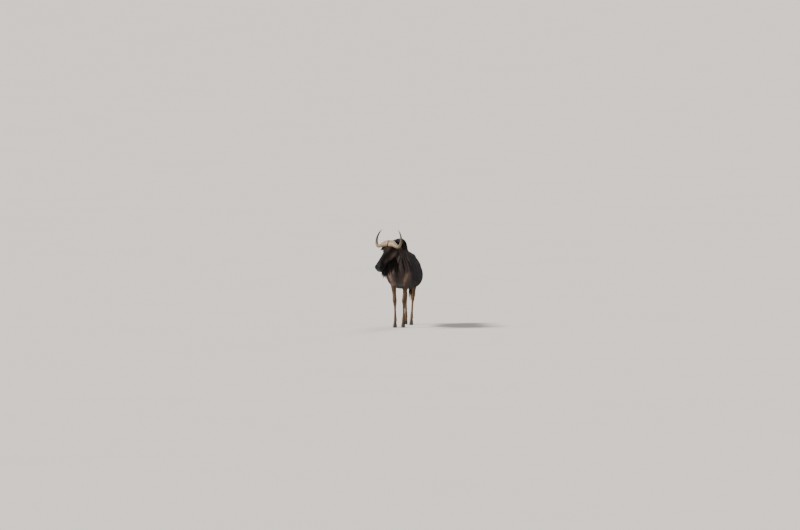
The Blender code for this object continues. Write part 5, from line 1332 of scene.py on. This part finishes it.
def hairMaterial(name, roughness, low, high, sheen, gloss):
    material, nodes, links, shader = newMaterial(name)
    place = nodes.new("ShaderNodeTexCoord").outputs["Object"]
    strands = stretchedNoise(nodes, links, place, (900, 900, 120), (0, 0, 0), 2.0)
    links.new(shaded(nodes, links, colourAttribute(nodes, "hue").outputs["Color"], strands, low, high), shader.inputs["Base Color"])
    links.new(mixFloat(nodes, links, strands, roughness - 0.08, roughness + 0.12), shader.inputs["Roughness"])
    shader.inputs["Specular IOR Level"].default_value = gloss
    shader.inputs["Sheen Weight"].default_value = sheen
    shader.inputs["Sheen Roughness"].default_value = 0.4
    bumpInto(nodes, links, shader, strands, 0.35, 0.0006)
    return material


def hornMaterial():
    material, nodes, links, shader = newMaterial("weathered horn")
    place = nodes.new("ShaderNodeTexCoord").outputs["Object"]
    grain = stretchedNoise(nodes, links, place, (260, 260, 260), (0, 0, 0), 6.0)
    cracks = stretchedNoise(nodes, links, place, (90, 420, 420), faceTurn(), 4.0)
    both = mixFloat(nodes, links, grain, grain, cracks)
    links.new(shaded(nodes, links, colourAttribute(nodes, "hue").outputs["Color"], both, 0.62, 1.28), shader.inputs["Base Color"])
    links.new(mixFloat(nodes, links, grain, 0.36, 0.62), shader.inputs["Roughness"])
    bumpInto(nodes, links, shader, both, 0.45, 0.0012)
    return material


def hoofMaterial():
    material, nodes, links, shader = newMaterial("hoof horn")
    place = nodes.new("ShaderNodeTexCoord").outputs["Object"]
    lines = stretchedNoise(nodes, links, place, (700, 700, 45), (0, 0, 0), 3.0)
    dust = stretchedNoise(nodes, links, place, (60, 60, 60), (0, 0, 0), 5.0)
    links.new(shaded(nodes, links, colourAttribute(nodes, "hue").outputs["Color"], lines, 0.65, 1.35), shader.inputs["Base Color"])
    links.new(mixFloat(nodes, links, dust, 0.38, 0.72), shader.inputs["Roughness"])
    bumpInto(nodes, links, shader, lines, 0.4, 0.0007)
    return material


def eyeMaterial():
    material, nodes, links, shader = newMaterial("wet eye")
    place = nodes.new("ShaderNodeTexCoord").outputs["Object"]
    mottle = stretchedNoise(nodes, links, place, (500, 500, 500), (0, 0, 0), 3.0)
    links.new(shaded(nodes, links, colourAttribute(nodes, "hue").outputs["Color"], mottle, 0.8, 1.2), shader.inputs["Base Color"])
    shader.inputs["Roughness"].default_value = 0.08
    shader.inputs["Specular IOR Level"].default_value = 0.15
    return material


def floorMaterial():
    material, nodes, links, shader = newMaterial("pale floor")
    place = nodes.new("ShaderNodeTexCoord").outputs["Object"]
    tone = stretchedNoise(nodes, links, place, (0.35, 0.35, 0.35), (0, 0, 0), 3.0)
    blend = nodes.new("ShaderNodeMix")
    blend.data_type = "RGBA"
    blend.inputs["A"].default_value, blend.inputs["B"].default_value = (0.66, 0.64, 0.61, 1), (0.70, 0.68, 0.65, 1)
    links.new(tone, blend.inputs["Factor"])
    links.new(blend.outputs["Result"], shader.inputs["Base Color"])
    shader.inputs["Roughness"].default_value = 0.85
    return material


# ---- putting the pieces together

def dress(obj, material, slot, *nodes):
    setPoints(obj.data, np.clip(pointsOf(obj.data) + shift, cadLow, cadHigh))  # hair tips stay in the frame's box
    obj.data.materials.clear()
    obj.data.materials.append(material)
    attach(obj, "root")
    if nodes:
        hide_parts(*nodes)
    return obj


def paintSkin(skin):
    points, normals = pointsOf(skin.data), pointsOf(skin.data, "normal")
    paint(skin.data, "hue", markings(points))
    lie = lieOf(points, normals)
    down = np.abs(lie[:, 2]) ** 1.5
    down = np.clip(down / (down + np.abs(lie[:, 1]) ** 1.5 + 1e-6), 0, 1)
    shares = np.stack([bareShare(points), smoothStep(0.25, 0.75, down), smoothStep(0.3, 0.7, headShare(points))], axis=-1)
    paint(skin.data, "lieShares", shares)


rng = np.random.default_rng(11)
skin = wholeSkin()
print("skin", len(skin.data.vertices), "points")
tree = BVHTree.FromObject(skin, bpy.context.evaluated_depsgraph_get())
paintSkin(skin)
coatPieces = shortCoat(skin.data, rng)
manePieces = makeMane(tree, rng)
beard = makeBeard(tree, rng)
tailSwitch = makeSwitch(rng)
horns = [makeHorn(1), makeHorn(-1)]
eyes = [makeEye(1), makeEye(-1)]
lashes = [makeLashes(1, rng), makeLashes(-1, rng)]
claws = [(makeClaw(name, label, way * legs[name][1]), f"claw_{name}_{label}")
         for name in legs for label, way in (("outer", 1), ("inner", -1))]
dewclaws = makeDewclaws()
print("pieces made")

shortHair = hairMaterial("short slate hair", 0.60, 0.78, 1.22, 0.02, 0.10)
longHair = hairMaterial("long black hair", 0.50, 0.70, 1.35, 0.02, 0.22)
keratin, hoofHorn, wetEye = hornMaterial(), hoofMaterial(), eyeMaterial()
dress(skin, skinMaterial(), "coat", "torso", "neck", "head", "tail", "ear_left", "ear_right",
      *("leg_" + name for name in legs))
for piece in coatPieces:
    dress(piece, shortHair, "coat")
for piece in manePieces:
    dress(piece, longHair, "long_hair", "mane")
dress(beard, longHair, "long_hair", "beard")
dress(tailSwitch, longHair, "long_hair", "tail_tuft")
for piece in lashes:
    dress(piece, longHair, "long_hair")
for piece, node in zip(horns, ("horn_left", "horn_right")):
    dress(piece, keratin, "horn", node)
for piece, node in zip(eyes, ("eye_left", "eye_right")):
    dress(piece, wetEye, "eye", node)
for piece, node in claws:
    dress(piece, hoofHorn, "hoof", node)
for piece in dewclaws:
    dress(piece, hoofHorn, "hoof")

# ---- floor, light and camera

viewForm = {"azimuth": 9.0, "elevation": 2.5, "distance": 180.0, "metresWide": 12.80, "originAt": (399.7, 327.4)}


def makeStage():
    size = 700.0
    corners = np.array([(-size, -size, 0), (size, -size, 0), (size, size, 0), (-size, size, 0)], float)
    floor = meshFrom("floor", corners, [(0, 1, 2, 3)], [])
    floor.data.materials.append(floorMaterial())
    world = bpy.data.worlds.new("studio")
    bpy.context.scene.world = world
    world.use_nodes = True
    world.node_tree.nodes["Background"].inputs["Color"].default_value = (0.90, 0.93, 1.0, 1)
    world.node_tree.nodes["Background"].inputs["Strength"].default_value = 0.24
    for name, azimuth, elevation, energy, angle, tint in (
            ("key", -74, 42, 6.2, 12, (1.0, 0.93, 0.84)), ("fill", 60, 25, 0.20, 16, (0.88, 0.93, 1.0)),
            ("rim", 160, 40, 1.2, 20, (1.0, 0.96, 0.90))):
        lamp = bpy.data.lights.new(name, "SUN")
        lamp.energy, lamp.angle, lamp.color = energy, radians(angle), tint
        holder = bpy.data.objects.new(name, lamp)
        bpy.context.scene.collection.objects.link(holder)
        a, e = radians(viewForm["azimuth"] + azimuth), radians(elevation)
        back = Vector((sin(a) * cos(e), -cos(a) * cos(e), sin(e)))
        holder.rotation_euler = (-back).to_track_quat("-Z", "Y").to_euler()


def makeCamera():
    # the camera looks level with the frame's middle, which lies above the animal's feet
    a, e = radians(viewForm["azimuth"]), radians(viewForm["elevation"])
    back = np.array([sin(a) * cos(e), -cos(a) * cos(e), sin(e)])
    right, up = np.array([cos(a), sin(a), 0]), np.array([-sin(a) * sin(e), cos(a) * sin(e), cos(e)])
    metres = viewForm["metresWide"] / 800
    aim = shift + right * (400 - viewForm["originAt"][0]) * metres + up * (viewForm["originAt"][1] - 265) * metres
    data = bpy.data.cameras.new("camera")
    data.sensor_width = 36.0
    data.lens = 36.0 * viewForm["distance"] / viewForm["metresWide"]
    data.clip_start, data.clip_end = 10.0, 3000.0
    camera = bpy.data.objects.new("camera", data)
    bpy.context.scene.collection.objects.link(camera)
    camera.location = aim + back * viewForm["distance"]
    camera.rotation_euler = Vector(-back).to_track_quat("-Z", "Y").to_euler()
    bpy.context.scene.camera = camera


makeStage()
makeCamera()
